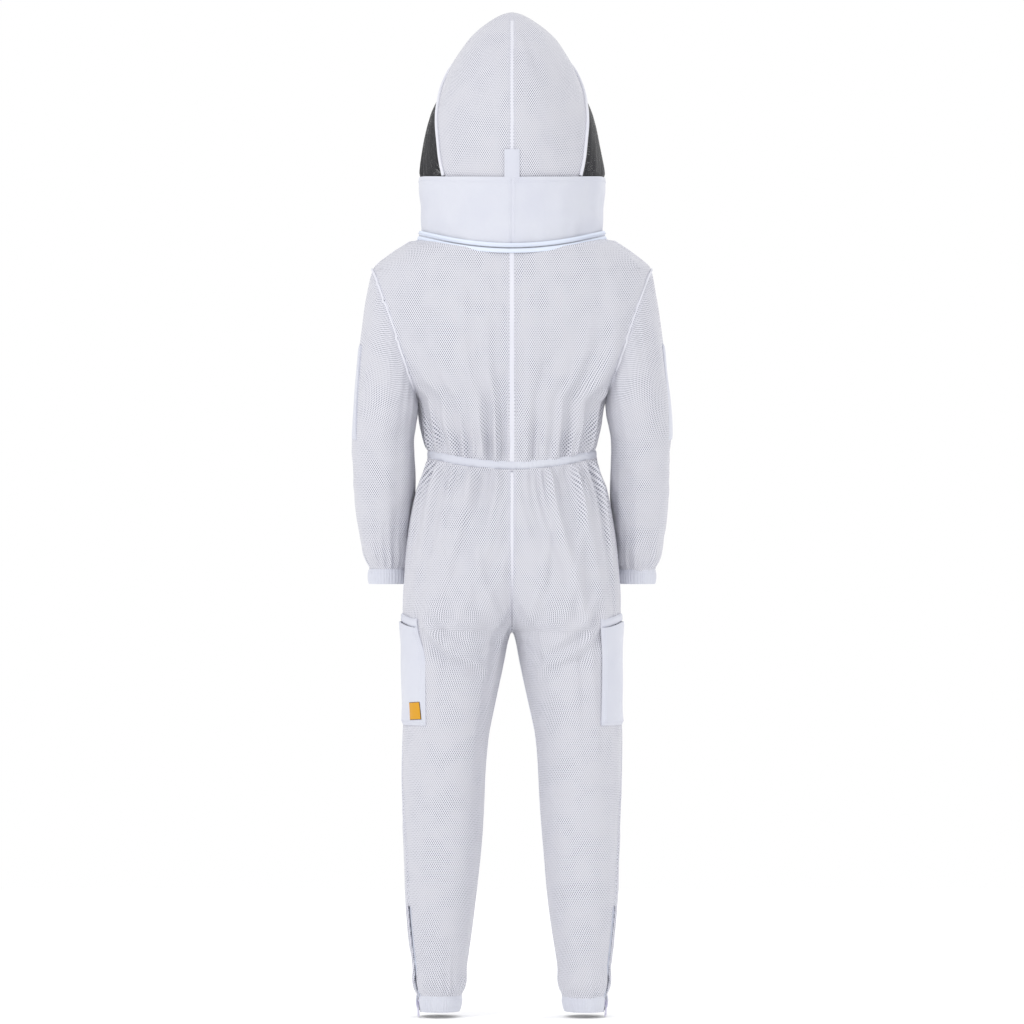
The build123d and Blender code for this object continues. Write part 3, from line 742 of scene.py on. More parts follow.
def moulded(name, colour, metallic, roughness, coat, grain):
    """Hard small parts: cast or moulded, with faint handling marks."""
    material = bpy.data.materials.new(name)
    material.use_nodes = True
    nodes, links = material.node_tree.nodes, material.node_tree.links
    nodes.clear()
    place = nodes.new("ShaderNodeTexCoord")
    place.label = "place on the suit"
    marks = nodes.new("ShaderNodeTexNoise")
    marks.label = "casting grain"
    marks.inputs["Scale"].default_value = grain
    marks.inputs["Detail"].default_value = 5
    gloss = nodes.new("ShaderNodeMapRange")
    gloss.label = "gloss worn by handling"
    gloss.inputs["To Min"].default_value = roughness * 0.75
    gloss.inputs["To Max"].default_value = min(1, roughness * 1.35)
    tone = nodes.new("ShaderNodeMix")
    tone.label = "surface colour"
    tone.data_type = "RGBA"
    tone.inputs["A"].default_value = (*colour, 1)
    tone.inputs["B"].default_value = (*(c * 0.85 for c in colour), 1)
    bump = nodes.new("ShaderNodeBump")
    bump.label = "grain relief"
    bump.inputs["Strength"].default_value = 0.12
    bump.inputs["Distance"].default_value = 0.0002
    shader = nodes.new("ShaderNodeBsdfPrincipled")
    shader.label = "hard surface"
    shader.inputs["Metallic"].default_value = metallic
    shader.inputs["Coat Weight"].default_value = coat
    output = nodes.new("ShaderNodeOutputMaterial")
    output.label = "hard part"
    groups = (
        ("grain and wear", (place, marks, gloss, tone, bump)),
        ("surface", (shader, output)),
    )
    lay_out(nodes, groups)
    links.new(place.outputs["Object"], marks.inputs["Vector"])
    links.new(marks.outputs["Fac"], gloss.inputs["Value"])
    links.new(marks.outputs["Fac"], tone.inputs["Factor"])
    links.new(marks.outputs["Fac"], bump.inputs["Height"])
    links.new(gloss.outputs["Result"], shader.inputs["Roughness"])
    links.new(tone.outputs["Result"], shader.inputs["Base Color"])
    links.new(bump.outputs["Normal"], shader.inputs["Normal"])
    links.new(shader.outputs["BSDF"], output.inputs["Surface"])
    return material


# the second colour is painted shade in the holes of the knit
mesh_cloth = spacer_knit("white_spacer_mesh", (0.73, 0.73, 0.79), (0.20, 0.21, 0.26), 0.0039, 0.0063, 0.23)
cotton = twill("white_cotton", (0.64, 0.655, 0.72), 0.0011, 0.35, 0.72, 0.2)
tape_cloth = twill("white_seam_tape", (0.74, 0.745, 0.80), 0.0009, 0.4, 0.7, 0.2)
zip_cloth = twill("zip_tape", (0.72, 0.78, 0.89), 0.0008, 0.4, 0.6, 0.1)
amber_cloth = twill("amber_label", (0.70, 0.34, 0.012), 0.0007, 0.5, 0.5, 0.1)
dark_cloth = twill("label_border", (0.06, 0.04, 0.02), 0.0007, 0.5, 0.6, 0.1)
elastic_cloth = twill("white_elastic", (0.70, 0.70, 0.72), 0.0016, 0.8, 0.8, 0.2)
thread = twill("sewing_thread", (0.76, 0.77, 0.84), 0.0006, 0.3, 0.5, 0.1)
net_cloth = net("black_veil_net", (0.025, 0.025, 0.028), 0.0017, 0.34)
hoop_plastic = moulded("black_hoop_plastic", (0.03, 0.03, 0.032), 0, 0.4, 0.1, 60)
white_plastic = moulded("white_zip_coil", (0.70, 0.73, 0.82), 0, 0.35, 0.15, 200)
painted_metal = moulded("painted_zip_metal", (0.66, 0.64, 0.80), 0.35, 0.32, 0.3, 240)


# ---------------------------------------------------------------- how pieces are held
def on_body(piece, how, slot_name, *nodes):
    """Fixes a piece to its body or bakes in its place across a joint, and hides the parts it replaces."""
    if how[0] == "rigid":
        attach(piece, how[1])
    else:
        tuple(how[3])
        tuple(how[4])
        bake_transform(piece)
    if nodes:
        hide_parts(*nodes)
    return piece


def metres(x, y, z):
    return (x * MM, y * MM, z * MM)


TORSO_HOLD, HOOD_HOLD = ("rigid", "torso"), ("rigid", "hood")


def shoulder_hold(side_name, side):
    out = (43.4 * side, 0, -15.4)
    middle = (208.5 * side, 0, -171)
    end = (middle[0] + out[0], 0, middle[2] + out[2])
    return "bend", "torso", f"upper_sleeve_{side_name}", metres(*middle), metres(*end)


def elbow_hold(side_name):
    upper, lower = f"upper_sleeve_{side_name}", f"lower_sleeve_{side_name}"
    return "bend", upper, lower, metres(0, 0, ELBOW_FROM), metres(0, 0, ELBOW_TO)


def hip_hold(side_name, side):
    end = (103.4 * side, 32.3, -841.2)
    return "bend", "torso", f"upper_leg_{side_name}", metres(0, 0, HIP_FROM), metres(*end)


def knee_hold(side_name):
    upper, lower = f"upper_leg_{side_name}", f"lower_leg_{side_name}"
    return "bend", upper, lower, metres(0, 0, KNEE_FROM), metres(0, 0, KNEE_TO)


def edge_path(points, normals, row=None, column=None, lift=0.25, side=1):
    """A stitch line along one row or column of a panel, lifted off the cloth."""
    pick = (slice(None), column) if row is None else (row, slice(None))
    flip = np.array([side, 1, 1])
    path = (points[pick] + normals[pick] * lift) * flip
    outward = normals[pick] * flip
    along = np.gradient(path, axis=0)
    across = np.cross(along, outward)
    across /= np.maximum(np.linalg.norm(across, axis=1, keepdims=True), 1e-9)
    return path, outward, across


def level_weave(across, z):
    """Weave whose courses stay level: its length follows the height alone."""
    middle = z.shape[1] // 2
    return np.stack([across, z[0, middle] - z], -1)


def nearest_line(distance, target):
    """Index of the grid line whose distance from the seam is nearest the target."""
    return int(np.argmin(np.abs(distance - target)))


def edge_height(angle, shape, low, radius, offset, start):
    """Height at which an oval shell meets a dipping line, for each angle."""
    z = np.full_like(angle, float(start))
    for _ in range(40):
        x = shape(z)[..., 0] * np.cos(angle)
        z = 0.5 * z + 0.5 * (dip(x, low, radius) + offset)
    return z


# ---------------------------------------------------------------- body of the suit
LOOP_MIDDLE = (ARMHOLE_TOP[1] + ARMHOLE_LOW[1]) / 2
LOOP_HALF = (ARMHOLE_TOP[1] - ARMHOLE_LOW[1]) / 2
LOOP_LINES = 73
low_width = float(torso_shape(ARMHOLE_LOW[1])[0])


def armhole_x(z):
    """Where the armhole's slanting cut stands at a height."""
    share = (ARMHOLE_TOP[1] - z) / (ARMHOLE_TOP[1] - ARMHOLE_LOW[1])
    return ARMHOLE_TOP[0] + (low_width - ARMHOLE_TOP[0]) * share


def body_panel(name, side, sign, seed, nodes):
    """A front (sign -1) or back (sign 1) panel from the neck zip to the waist."""
    clear = PLACKET_HALF if sign < 0 else 0.0
    u = spread(235, 2.7)
    nominal = np.arccos(clear / 165.0) * (1 - u)
    top = edge_height(nominal, torso_shape, NECK_DIP, NECK_RADIUS, -NECK_GAP, 0)
    low = edge_height(nominal, torso_shape, WAIST_DIP, WAIST_RADIUS, CASING_HALF - 3, -390)
    loop = LOOP_MIDDLE + LOOP_HALF * np.cos(np.linspace(0, pi, LOOP_LINES))
    heights = np.concatenate([
        np.linspace(top[-1], loop[0], 14)[:-1], loop, np.linspace(loop[-1], low[-1], 30)[1:],
    ])
    v = ((heights - top[-1]) / (low[-1] - top[-1]))[:, None]
    z = top * (1 - v) + low * v
    width = torso_shape(z)[..., 0]
    inside = (z < ARMHOLE_TOP[1]) & (z > ARMHOLE_LOW[1])
    side_angle = np.where(inside, np.arccos(np.clip(armhole_x(z) / width, -1, 1)), 0)
    centre_angle = np.arccos(clear / width)
    angle = sign * (centre_angle + (side_angle - centre_angle) * u)
    base = ring_points(torso_shape, z, angle)
    middle = torso_shape(z)[..., 1:].mean(-1)
    outward = np.stack([base[..., 0], base[..., 1] - middle, 0 * z], -1)
    normals = grid_normals(base, outward)
    across, down = arc_lengths(base, 1), arc_lengths(base, 0)
    from_side = across[:, -1:] - across
    away = z - low
    world = base * np.array([side, 1, 1])
    lean = np.stack([
        0.80 * base[..., 0] - 0.60 * z, 0.60 * base[..., 0] + 0.80 * z, 0.3 * world[..., 1],
    ], -1)
    calm = ramp(across, 1, 18) * ramp(from_side, 1, 18)
    lift = gathers(angle * 150, away, 2.1, seed) * calm
    lift += (9.0 * noise_at(lean, (34, 210, 260), seed) * np.exp(-(away / 250) ** 2)
             * ramp(away, 8, 60) * calm)
    lift += body_swell(world) * np.where(inside, ramp(from_side, 0, 30), 1)
    pocket = (ramp(world[..., 0], 30, 44) * (1 - ramp(world[..., 0], 150, 164))
              * ramp(z, -262, -248) * (sign < 0))
    lift = lift * (1 - pocket * (side > 0)) + body_swell(world) * pocket * (side > 0)
    lift += 1.1 * noise_at(world, (34, 40, 60), 5) * calm * (1 - pocket)
    lift += seam_groove(across) - 1.5 * (1 - ramp(down, 2, 16))
    lift -= 7.0 * (1 - ramp(down, 0, 18)) * np.cos(angle) ** 2
    points = base + normals * lift[..., None]
    panel = grid_piece(name, points, mesh_cloth, MESH_THICK, outward, level_weave(across, z), side)
    on_body(panel, TORSO_HOLD, "spacer_mesh", *nodes)
    normals = grid_normals(points, outward)
    middle_row = len(v) // 2
    rows = [edge_path(points, normals, column=nearest_line(across[middle_row], d), side=side)
            for d in ((6.5, 9.5) if sign > 0 else (4.5, 7.0))]
    for d in (3.6, 6.0):
        rows.append(edge_path(points, normals, column=nearest_line(from_side[middle_row], d), side=side))
    rows.append(edge_path(points, normals, row=nearest_line(down[:, 5], 5), side=side))
    on_body(stitches(name + "_stitches", rows), TORSO_HOLD, "cotton")
    return points, normals, across


for side_name, side in SIDES:
    body_panel(f"back_{side_name}", side, 1, 11 + side, [f"back_panel_{side_name}"])
    body_panel(f"front_{side_name}", side, -1, 23 + side, [f"front_panel_{side_name}"])


# ---------------------------------------------------------------- trousers
heights = np.linspace(-730, -690, 801)
CROTCH = float(np.interp(0, leg_shape(heights)[:, 1][::-1], heights[::-1]))
LEG_U = spread(300, 2.9)


def crease(x, z, line, width, height):
    """A long soft fold that follows a line of x and z, with a hollow along its lower edge."""
    line = np.array(line, float)
    line_x, line_z = line.T
    slope = np.interp(x, line_x, np.gradient(line_z, line_x))
    off = (z - np.interp(x, line_x, line_z)) / np.hypot(1, slope)
    ends = ramp(x, line_x[0] - 16, line_x[0] + 24) * (1 - ramp(x, line_x[-1] - 14, line_x[-1] + 12))
    return height * ends * (np.exp(-(off / width) ** 2) - 0.7 * np.exp(-((off + 1.7 * width) / width) ** 2))


def trouser_folds(side, sign, base, angle, z, top, calm, seed):
    """Height of the folds over a trouser panel."""
    world = base * np.array([side, 1, 1])
    lift = gathers(angle * 150, top - z, 2.4, seed) * calm
    if sign > 0:
        x = np.abs(base[..., 0])
        lift += crease(x, z, ((46, -772), (64, -760), (88, -750), (121, -732), (160, -684)), 10, 8 + 2 * side)
        lift += crease(x, z, ((60, -735), (92, -716), (125, -690), (158, -640)), 9, 4.5 - side)
        lift += crease(x, z, ((20, -690), (44, -640), (60, -585), (72, -520)), 10, 5.0)
        lift += crease(x, z, ((96, -660), (116, -600), (128, -540), (132, -480)), 11, 5.5 - side)
    fall = np.maximum(top - z, 0)
    flow = np.stack([angle * 110, z, 0 * z], -1)
    lift += (2.6 * noise_at(flow, (30, 330, 9), seed + 2) * np.exp(-(fall / 330) ** 2)
             * ramp(fall, 5, 50) * calm)
    drop, out = z - CROTCH, np.abs(base[..., 0])
    reach = np.hypot(drop, out)
    ray = np.stack([np.arctan2(out, -drop) * 55, reach, 0 * z], -1)
    lift += (2.4 * noise_at(ray, (13, 150, 9), seed + 4) * np.exp(-(reach / 170) ** 2)
             * ramp(reach, 6, 40) * calm)
    knee = np.stack([angle * 90, z, 0 * z], -1)
    lift += 1.6 * noise_at(knee, (70, 22, 9), seed + 6) * np.exp(-((z + 1015) / 95) ** 2) * calm
    above = z - ANKLE_TOP
    lift += gathers(angle * 46, above, 0.8, seed + 8, 0.5) * calm * (z < -1100)
    lift += 1.7 * noise_at(knee, (60, 20, 9), seed + 9) * np.exp(-((above - 70) / 60) ** 2) * calm
    lift += 4.5 * np.exp(-((above - 24) / 20) ** 2) * ramp(above, 0, 12)
    lift += leg_swell(world)
    lift += 1.0 * noise_at(world, (34, 40, 70), 33) * calm
    return lift


def side_seam(z):
    """Angle of the outer seam, which turns back to meet the ankle zip."""
    return ANKLE_ZIP_TURN * ramp(-z, 850, 1170)


def trouser_panel(name, side, sign, part, seed, nodes):
    """Front or back of one leg: from the waist to above the knee, or from there to the ankle cuff."""
    clear = PLACKET_HALF if sign < 0 else 0.0
    u = LEG_U
    nominal = np.arccos(clear / 150.0) * (1 - u)
    top = edge_height(nominal, leg_shape, WAIST_DIP, WAIST_RADIUS, -CASING_HALF + 3, -420)
    if part == "upper":
        near = CROTCH + 0.3 * np.arange(12, 0, -1) ** 2
        column = np.concatenate([
            np.linspace(top[0], -470, 22)[:-1], np.linspace(-470, near[0], 44)[:-1], near,
            np.linspace(CROTCH, LEG_SPLIT, 42),
        ])
        v = ((column - top[0]) / (LEG_SPLIT - top[0]))[:, None]
        z = top * (1 - v) + LEG_SPLIT * v
    else:
        column = np.concatenate([
            np.linspace(LEG_SPLIT, -1190, 60)[:-1], np.linspace(-1190, -1204, 12)[:-1],
            np.linspace(-1204, ANKLE_TOP - 3, 48),
        ])
        z = np.repeat(column[:, None], len(u), 1)
    middle_x, middle_y, half_width, half_depth = leg_oval(z)
    inner_x = clear * (1 - ramp(-z, -FRONT_ZIP_BOTTOM - 2, -FRONT_ZIP_BOTTOM + 3))
    inner_angle = np.arccos(np.clip((inner_x - middle_x) / half_width, -1, 1))
    seam = side_seam(z)
    metric = np.hypot(half_width * np.sin(seam), half_depth * np.cos(seam))
    slot = ZIP_SLOT_HALF * ramp(-z, -ANKLE_ZIP_TOP - 2, -ANKLE_ZIP_TOP + 3) / metric
    angle = sign * inner_angle + (seam + sign * slot - sign * inner_angle) * u
    base = leg_points(z, angle)
    outward = np.stack([base[..., 0] - middle_x, base[..., 1] - middle_y, 0 * z], -1)
    normals = grid_normals(base, outward)
    across = arc_lengths(base, 1)
    from_side = across[:, -1:] - across
    calm = ramp(across, 1, 20) * ramp(from_side, 1, 20)
    lift = trouser_folds(side, sign, base, angle, z, top, calm, seed)
    lift += 1.2 * seam_groove(across) + seam_groove(from_side)
    points = base + normals * lift[..., None]
    meets = np.where(z > CROTCH, 1 - ramp(across, 0, 12), 0)
    points[..., 0] += meets * (inner_x[:, :1] - points[:, :1, 0])
    points[..., 0] = np.maximum(points[..., 0], inner_x)
    panel = grid_piece(name, points, mesh_cloth, MESH_THICK, outward, level_weave(across, z), side)
    side_name = "left" if side > 0 else "right"
    how = hip_hold(side_name, side) if part == "upper" else knee_hold(side_name)
    on_body(panel, how, "spacer_mesh", *nodes)
    normals = grid_normals(points, outward)
    middle_row = len(column) // 2
    rows = [edge_path(points, normals, column=nearest_line(inset[middle_row], d), side=side)
            for inset in (across, from_side) for d in (3.6, 6.4)]
    on_body(stitches(name + "_stitches", rows), how, "cotton")


for side_name, side in SIDES:
    trouser_panel(f"seat_{side_name}", side, 1, "upper", 41 + side,
                  [f"seat_panel_{side_name}", f"leg_upper_{side_name}"])
    trouser_panel(f"hip_{side_name}", side, -1, "upper", 51 + side, [f"hip_panel_{side_name}"])
    trouser_panel(f"calf_{side_name}", side, 1, "lower", 41 + side, [f"leg_lower_{side_name}"])
    trouser_panel(f"shin_{side_name}", side, -1, "lower", 51 + side, [])


# ---------------------------------------------------------------- sleeves
sleeve_rows = np.linspace(0, 8, 1601)
sleeve_z = sleeve_shape(sleeve_rows)[:, [1, 3]].mean(1)


def sleeve_row(z):
    """Place in the sleeve's table of the ring whose middle is at a height."""
    return float(np.interp(z, sleeve_z[::-1], sleeve_rows[::-1]))


def sleeve_ring(t, turn):
    """Points round the left sleeve; turn 0 is the outer side, half a turn the inner, back half positive."""
    outer_x, outer_z, inner_x, inner_z, middle_y, half_depth = np.moveaxis(sleeve_shape(t), -1, 0)
    x = (outer_x + inner_x) / 2 + (outer_x - inner_x) / 2 * np.cos(turn)
    z = (outer_z + inner_z) / 2 + (outer_z - inner_z) / 2 * np.cos(turn)
    y = middle_y + half_depth * np.sin(turn)
    loop_z = LOOP_MIDDLE + LOOP_HALF * np.cos(turn)
    width, front, back = np.moveaxis(torso_shape(loop_z), -1, 0)
    bow = np.sqrt(np.clip(1 - (armhole_x(loop_z) / width) ** 2, 0, 1))
    loop_y = (front + back) / 2 + np.sign(np.sin(turn)) * (back - front) / 2 * bow
    share = ramp(t, 0, 0.9)
    return np.stack([
        armhole_x(loop_z) * (1 - share) + x * share, loop_y * (1 - share) + y * share,
        loop_z * (1 - share) + z * share,
    ], -1)


SLEEVE_TURN = np.linspace(pi - 1e-6, -pi + 1e-6, 2 * LOOP_LINES - 1)


def sleeve_panel(name, side, part, seed, how, nodes):
    """One sleeve's tube, from the armhole to below the elbow or from there to the wrist."""
    split = sleeve_row(SLEEVE_SPLIT)
    end = sleeve_row(WRIST_TOP - 3)
    t = np.linspace(0, split, 84) if part == "upper" else np.linspace(split, end, 62)
    t, turn = np.meshgrid(t, SLEEVE_TURN, indexing="ij")
    base = sleeve_ring(t, turn)
    centre = base.mean(1, keepdims=True)
    outward = base - centre
    normals = grid_normals(base, outward)
    across, down = arc_lengths(base, 1), arc_lengths(base, 0)
    from_seam = np.minimum(across, across[:, -1:] - across)
    calm = ramp(from_seam, 1, 16)
    world = base * np.array([side, 1, 1])
    above = base[..., 2] - WRIST_TOP
    lift = gathers(turn * 38, above, 0.85, seed, 0.5) * calm
    lift += 4.0 * np.exp(-((above - 26) / 20) ** 2) * ramp(above, 0, 14)
    flow = np.stack([turn * 60, base[..., 2] + 0.5 * base[..., 1], 0 * t], -1)
    crook = np.exp(-((base[..., 2] + 400) / 90) ** 2)
    lift += 2.4 * noise_at(flow, (60, 26, 9), seed + 2) * crook * calm
    lift += 2.2 * noise_at(np.stack([turn * 60, base[..., 2], 0 * t], -1), (26, 190, 9), seed + 4) * calm \
        * ramp(t, 0.1, 1.0)
    lift += 1.5 * noise_at(flow, (50, 22, 9), seed + 5) * np.exp(-((above - 60) / 55) ** 2) * calm
    lift += 3.0 * noise_at(world, (100, 110, 130), 71) * ramp(t, 0.05, 0.8)
    lift += 0.9 * noise_at(world, (30, 36, 50), 73) * calm
    if part == "upper":
        lift += gathers(turn * 90, down, 0.3, seed + 9) * calm * ramp(down, 2, 12)
    lift += 0.8 * seam_groove(from_seam)
    points = base + normals * lift[..., None]
    courses = np.repeat(down.mean(1, keepdims=True), down.shape[1], 1)
    piece = grid_piece(name, points, mesh_cloth, MESH_THICK, outward, np.stack([across, courses], -1), side)
    on_body(piece, how, "spacer_mesh", *nodes)
    normals = grid_normals(points, outward)
    rows = [edge_path(points, normals, column=nearest_line(across[0], d), side=side) for d in (3.5, 6.5)]
    if part == "upper":
        rows += [edge_path(points, normals, row=nearest_line(down[:, 30], d), side=side) for d in (4, 8)]
        loop = points[0, :-1] + 1.2 * normals[0, :-1]
        # the name takes four letters, so the right one is called armhole_binding_ight
        binding = tube_piece(f"armhole_binding_{name[-4:].strip('_')}", np.concatenate([loop, loop[:1]]) *
                             np.array([side, 1, 1]), 2.3, tape_cloth, sides=8)
        on_body(binding, how, "cotton")
    on_body(stitches(name + "_stitches", rows), how, "cotton")


def sleeve_patch(name, side, how, nodes):
    """Plain cloth sewn over the outer side of the sleeve."""
    first, last = 1.86, sleeve_row(-362)
    v = spread(176, 4.0)
    t = (first + (last - first) * v)[:, None]
    _, _, _, _, middle_y, half_depth = np.moveaxis(sleeve_shape(t), -1, 0)
    back = np.arcsin(np.clip((24 - middle_y) / half_depth, -1, 1))
    front = np.arcsin(np.clip((-52 - middle_y) / half_depth, -1, 1))
    u = spread(90, 3.5)
    turn = back + (front - back) * u
    base = sleeve_ring(t + 0 * turn, turn)
    outward = base - sleeve_ring(t + 0 * turn, turn + pi)
    normals = grid_normals(base, outward)
    across, down = arc_lengths(base, 1), arc_lengths(base, 0)
    edge = from_edges(across, down)
    world = base * np.array([side, 1, 1])
    lift = 1.9 + 0.9 * ramp(edge, 0, 5) - 0.6 * np.exp(-((edge - 4.5) / 1.3) ** 2)
    lift += 3.0 * noise_at(world, (100, 110, 130), 71) * ramp(t, 0.05, 0.8)
    lift += 0.9 * noise_at(world, (46, 46, 60), 77) * ramp(edge, 2, 14)
    points = base + normals * lift[..., None]
    piece = grid_piece(name, points, cotton, 3.2, outward, np.stack([across, down], -1), side)
    on_body(piece, how, "cotton", *nodes)
    normals = grid_normals(points, outward)
    rows = [
        edge_path(points, normals, column=nearest_line(across[3], 4.5), side=side),
        edge_path(points, normals, column=nearest_line(across[3, -1] - across[3], 4.5), side=side),
        edge_path(points, normals, row=nearest_line(down[:, 3], 4.5), side=side),
        edge_path(points, normals, row=nearest_line(down[-1, 3] - down[:, 3], 4.5), side=side),
    ]
    on_body(stitches(name + "_stitches", rows), how, "cotton")


for side_name, side in SIDES:
    reach = shoulder_hold(side_name, side)
    sleeve_panel(f"sleeve_upper_{side_name}", side, "upper", 61 + side, reach, [f"sleeve_upper_{side_name}"])
    sleeve_panel(f"sleeve_lower_{side_name}", side, "lower", 61 + side, elbow_hold(side_name),
                 [f"sleeve_lower_{side_name}"])
    sleeve_patch(f"sleeve_patch_{side_name}", side, reach, [f"sleeve_patch_{side_name}"])


# ---------------------------------------------------------------- hood, collar and veil
def hood_base(z, angle):
    base = ring_points(hood_shape, z, angle)
    middle = hood_shape(z)[..., 1:].mean(-1)
    upward = 0.3 * ramp(z, 300, 400) * 60 + 0 * base[..., 0]
    outward = np.stack([base[..., 0], base[..., 1] - middle, upward], -1)
    return base, outward


def seam_angle(z):
    """Angle round the hood at which the back panels meet the veil."""
    _, front, back = np.moveaxis(hood_shape(z), -1, 0)
    share = (veil_seam(z)[..., 0] - (front + back) / 2) / ((back - front) / 2)
    return np.arcsin(np.clip(share, -1, 1))


crown_heights = np.linspace(340, 408, 1361)
CROWN = float(crown_heights[np.argmax(seam_angle(crown_heights) <= -pi / 2 + 1e-6)])
near_crown = CROWN - 0.25 * np.arange(14, 0, -1) ** 2


def hood_lift(world):
    """Slack of the hood's cloth."""
    lift = 2.6 * noise_at(world, (90, 90, 110), 81)
    turn = np.arctan2(world[..., 0], 420 - world[..., 2]) * 110
    ray = np.stack([turn, world[..., 2], 0.4 * world[..., 1]], -1)
    lift += 1.7 * noise_at(ray, (17, 120, 90), 83) * ramp(world[..., 2], 200, 330)
    return lift + 0.5 * noise_at(world, (26, 30, 34), 85)


def hood_back(name, side, nodes):
    """One of the two mesh panels of the hood's back, from the collar over the crown."""
    u = spread(190, 3.6)
    column = np.concatenate([np.linspace(COLLAR_TOP - 14, near_crown[0], 60)[:-1], near_crown,
                             np.linspace(CROWN, 410, 16)])
    z = np.repeat(column[:, None], len(u), 1)
    angle = pi / 2 + (seam_angle(z) - pi / 2) * u
    base, outward = hood_base(z, angle)
    normals = grid_normals(base, outward)
    across, down = arc_lengths(base, 1), arc_lengths(base, 0)
    from_seam = across[:, -1:] - across
    world = base * np.array([side, 1, 1])
    calm = ramp(across, 1, 14) * ramp(from_seam, 1, 14) * (1 - ramp(z, 370, 402))
    lift = 1.25 * hood_lift(world) * calm + seam_groove(across) * (1 - ramp(z, 385, 400))
    lift += 0.6 * seam_groove(from_seam)
    tucked = 1 - ramp(z, COLLAR_TOP - 6, COLLAR_TOP + 12)
    lift = lift * (1 - tucked) - 2.2 * tucked
    points = base + normals * lift[..., None]
    points[-1] = points[-1].mean(0) * np.array([0, 1, 1])
    panel = grid_piece(name, points, mesh_cloth, MESH_THICK, outward, np.stack([across, down], -1), side)
    on_body(panel, HOOD_HOLD, "spacer_mesh", *nodes)
    normals = grid_normals(points, outward)
    rows = [edge_path(points[:-3], normals[:-3], column=nearest_line(across[20], 4.5), side=side)]
    on_body(stitches(name + "_stitches", rows), HOOD_HOLD, "cotton")


for side_name, side in SIDES:
    hood_back(f"hood_back_{side_name}", side, [f"hood_back_{side_name}"])

w = np.linspace(-1, 1, 151)
veil_heights = np.concatenate([np.linspace(COLLAR_TOP - 14, near_crown[0], 66)[:-1], near_crown, [CROWN]])
z = np.repeat(veil_heights[:, None], len(w), 1)
veil_base, veil_outward = hood_base(z, -pi / 2 + w * (seam_angle(z) + pi / 2))
veil_normals = grid_normals(veil_base, veil_outward)
above_collar = z - COLLAR_TOP
flank = np.stack([w * 260 + 0 * z, z, 0 * z], -1)
veil_lift = -1.0 + 6.0 * noise_at(flank, (11, 120, 9), 91) * np.exp(-np.maximum(above_collar, 0) / 90)
veil_lift += 2.4 * noise_at(flank, (30, 160, 9), 93)
veil_tuck = 1 - ramp(z, COLLAR_TOP - 4, COLLAR_TOP + 10)
veil_lift = np.minimum(veil_lift, 1.5) * (1 - veil_tuck) - 2.6 * veil_tuck
veil_points = veil_base + veil_normals * veil_lift[..., None]
veil_weave = np.stack([arc_lengths(veil_base, 1), arc_lengths(veil_base, 0)], -1)
veil_piece = grid_piece("veil_net", veil_points, net_cloth, VEIL_THICK, veil_outward, veil_weave)
on_body(veil_piece, HOOD_HOLD, "veil_mesh", "veil")

half_seam = np.concatenate([
    np.linspace(COLLAR_TOP, near_crown[0], 50)[:-1], near_crown[:-2], [CROWN + 0.4],
])
seam_line, seam_out = hood_base(half_seam, seam_angle(half_seam))
seam_out = seam_out / np.linalg.norm(seam_out, axis=1, keepdims=True)
seam_line = seam_line + seam_out * 1.6
seam_line = np.concatenate([seam_line[:-1], (seam_line * np.array([-1, 1, 1]))[::-1]])
piping = tube_piece("hood_piping", seam_line, 3.1, tape_cloth, sides=12)
on_body(piping, HOOD_HOLD, "cotton", "hood_piping")


def collar_panel(name, side, nodes):
    """Half of the plain collar, from the neck zip up to the hood and the veil."""
    u = spread(470, 4.0)
    angle = pi / 2 - pi * u
    low = edge_height(angle, hood_shape, NECK_DIP, NECK_RADIUS, 7.0, 0)
    v = spread(100, 3.2)[:, None]
    top = COLLAR_TOP - 5 * ramp(np.sin(angle), 0.2, 1) + 1.5 * np.sin(2 * angle)
    z = low * (1 - v) + top * v
    base, outward = hood_base(z, angle + 0 * z)
    normals = grid_normals(base, outward)
    across, down = arc_lengths(base, 1), arc_lengths(base, 0)
    up = down
    from_top = down[-1:] - down
    world = base * np.array([side, 1, 1])
    calm = ramp(across, 1, 14) * ramp(across[:, -1:] - across, 1, 14)
    drape = np.stack([angle * 150 + 0.25 * z, z + 0 * angle, 0 * z], -1)
    lift = 1.0 - 3.5 * (1 - ramp(up, 0, 34))
    lift += 2.2 * noise_at(drape, (30, 150, 9), 101 + side) * calm * ramp(up, 0, 30)
    lift += 1.1 * noise_at(world, (26, 30, 40), 103) * calm
    lift += 1.4 * noise_at(drape, (18, 60, 9), 105 + side) * np.exp(-(up / 26) ** 2) * calm
    lift += 1.0 * (1 - ramp(from_top, 10.0, 11.5)) - 0.5 * np.exp(-((from_top - 9) / 1.2) ** 2)
    lift += seam_groove(across) * 0.6 + 0.6 * seam_groove(across[:, -1:] - across)
    points = base + normals * lift[..., None]
    panel = grid_piece(name, points, cotton, COTTON_THICK, outward, np.stack([across, down], -1), side)
    on_body(panel, HOOD_HOLD, "cotton", *nodes)
    normals = grid_normals(points, outward)
    rows = [edge_path(points, normals, row=nearest_line(from_top[:, 9], 9.0), side=side)]
    rows += [edge_path(points, normals, column=nearest_line(across[9], 4.5), side=side)]
    on_body(stitches(name + "_stitches", rows), HOOD_HOLD, "cotton")


for side_name, side in SIDES:
    collar_panel(f"collar_{side_name}", side, [f"collar_{side_name}"])


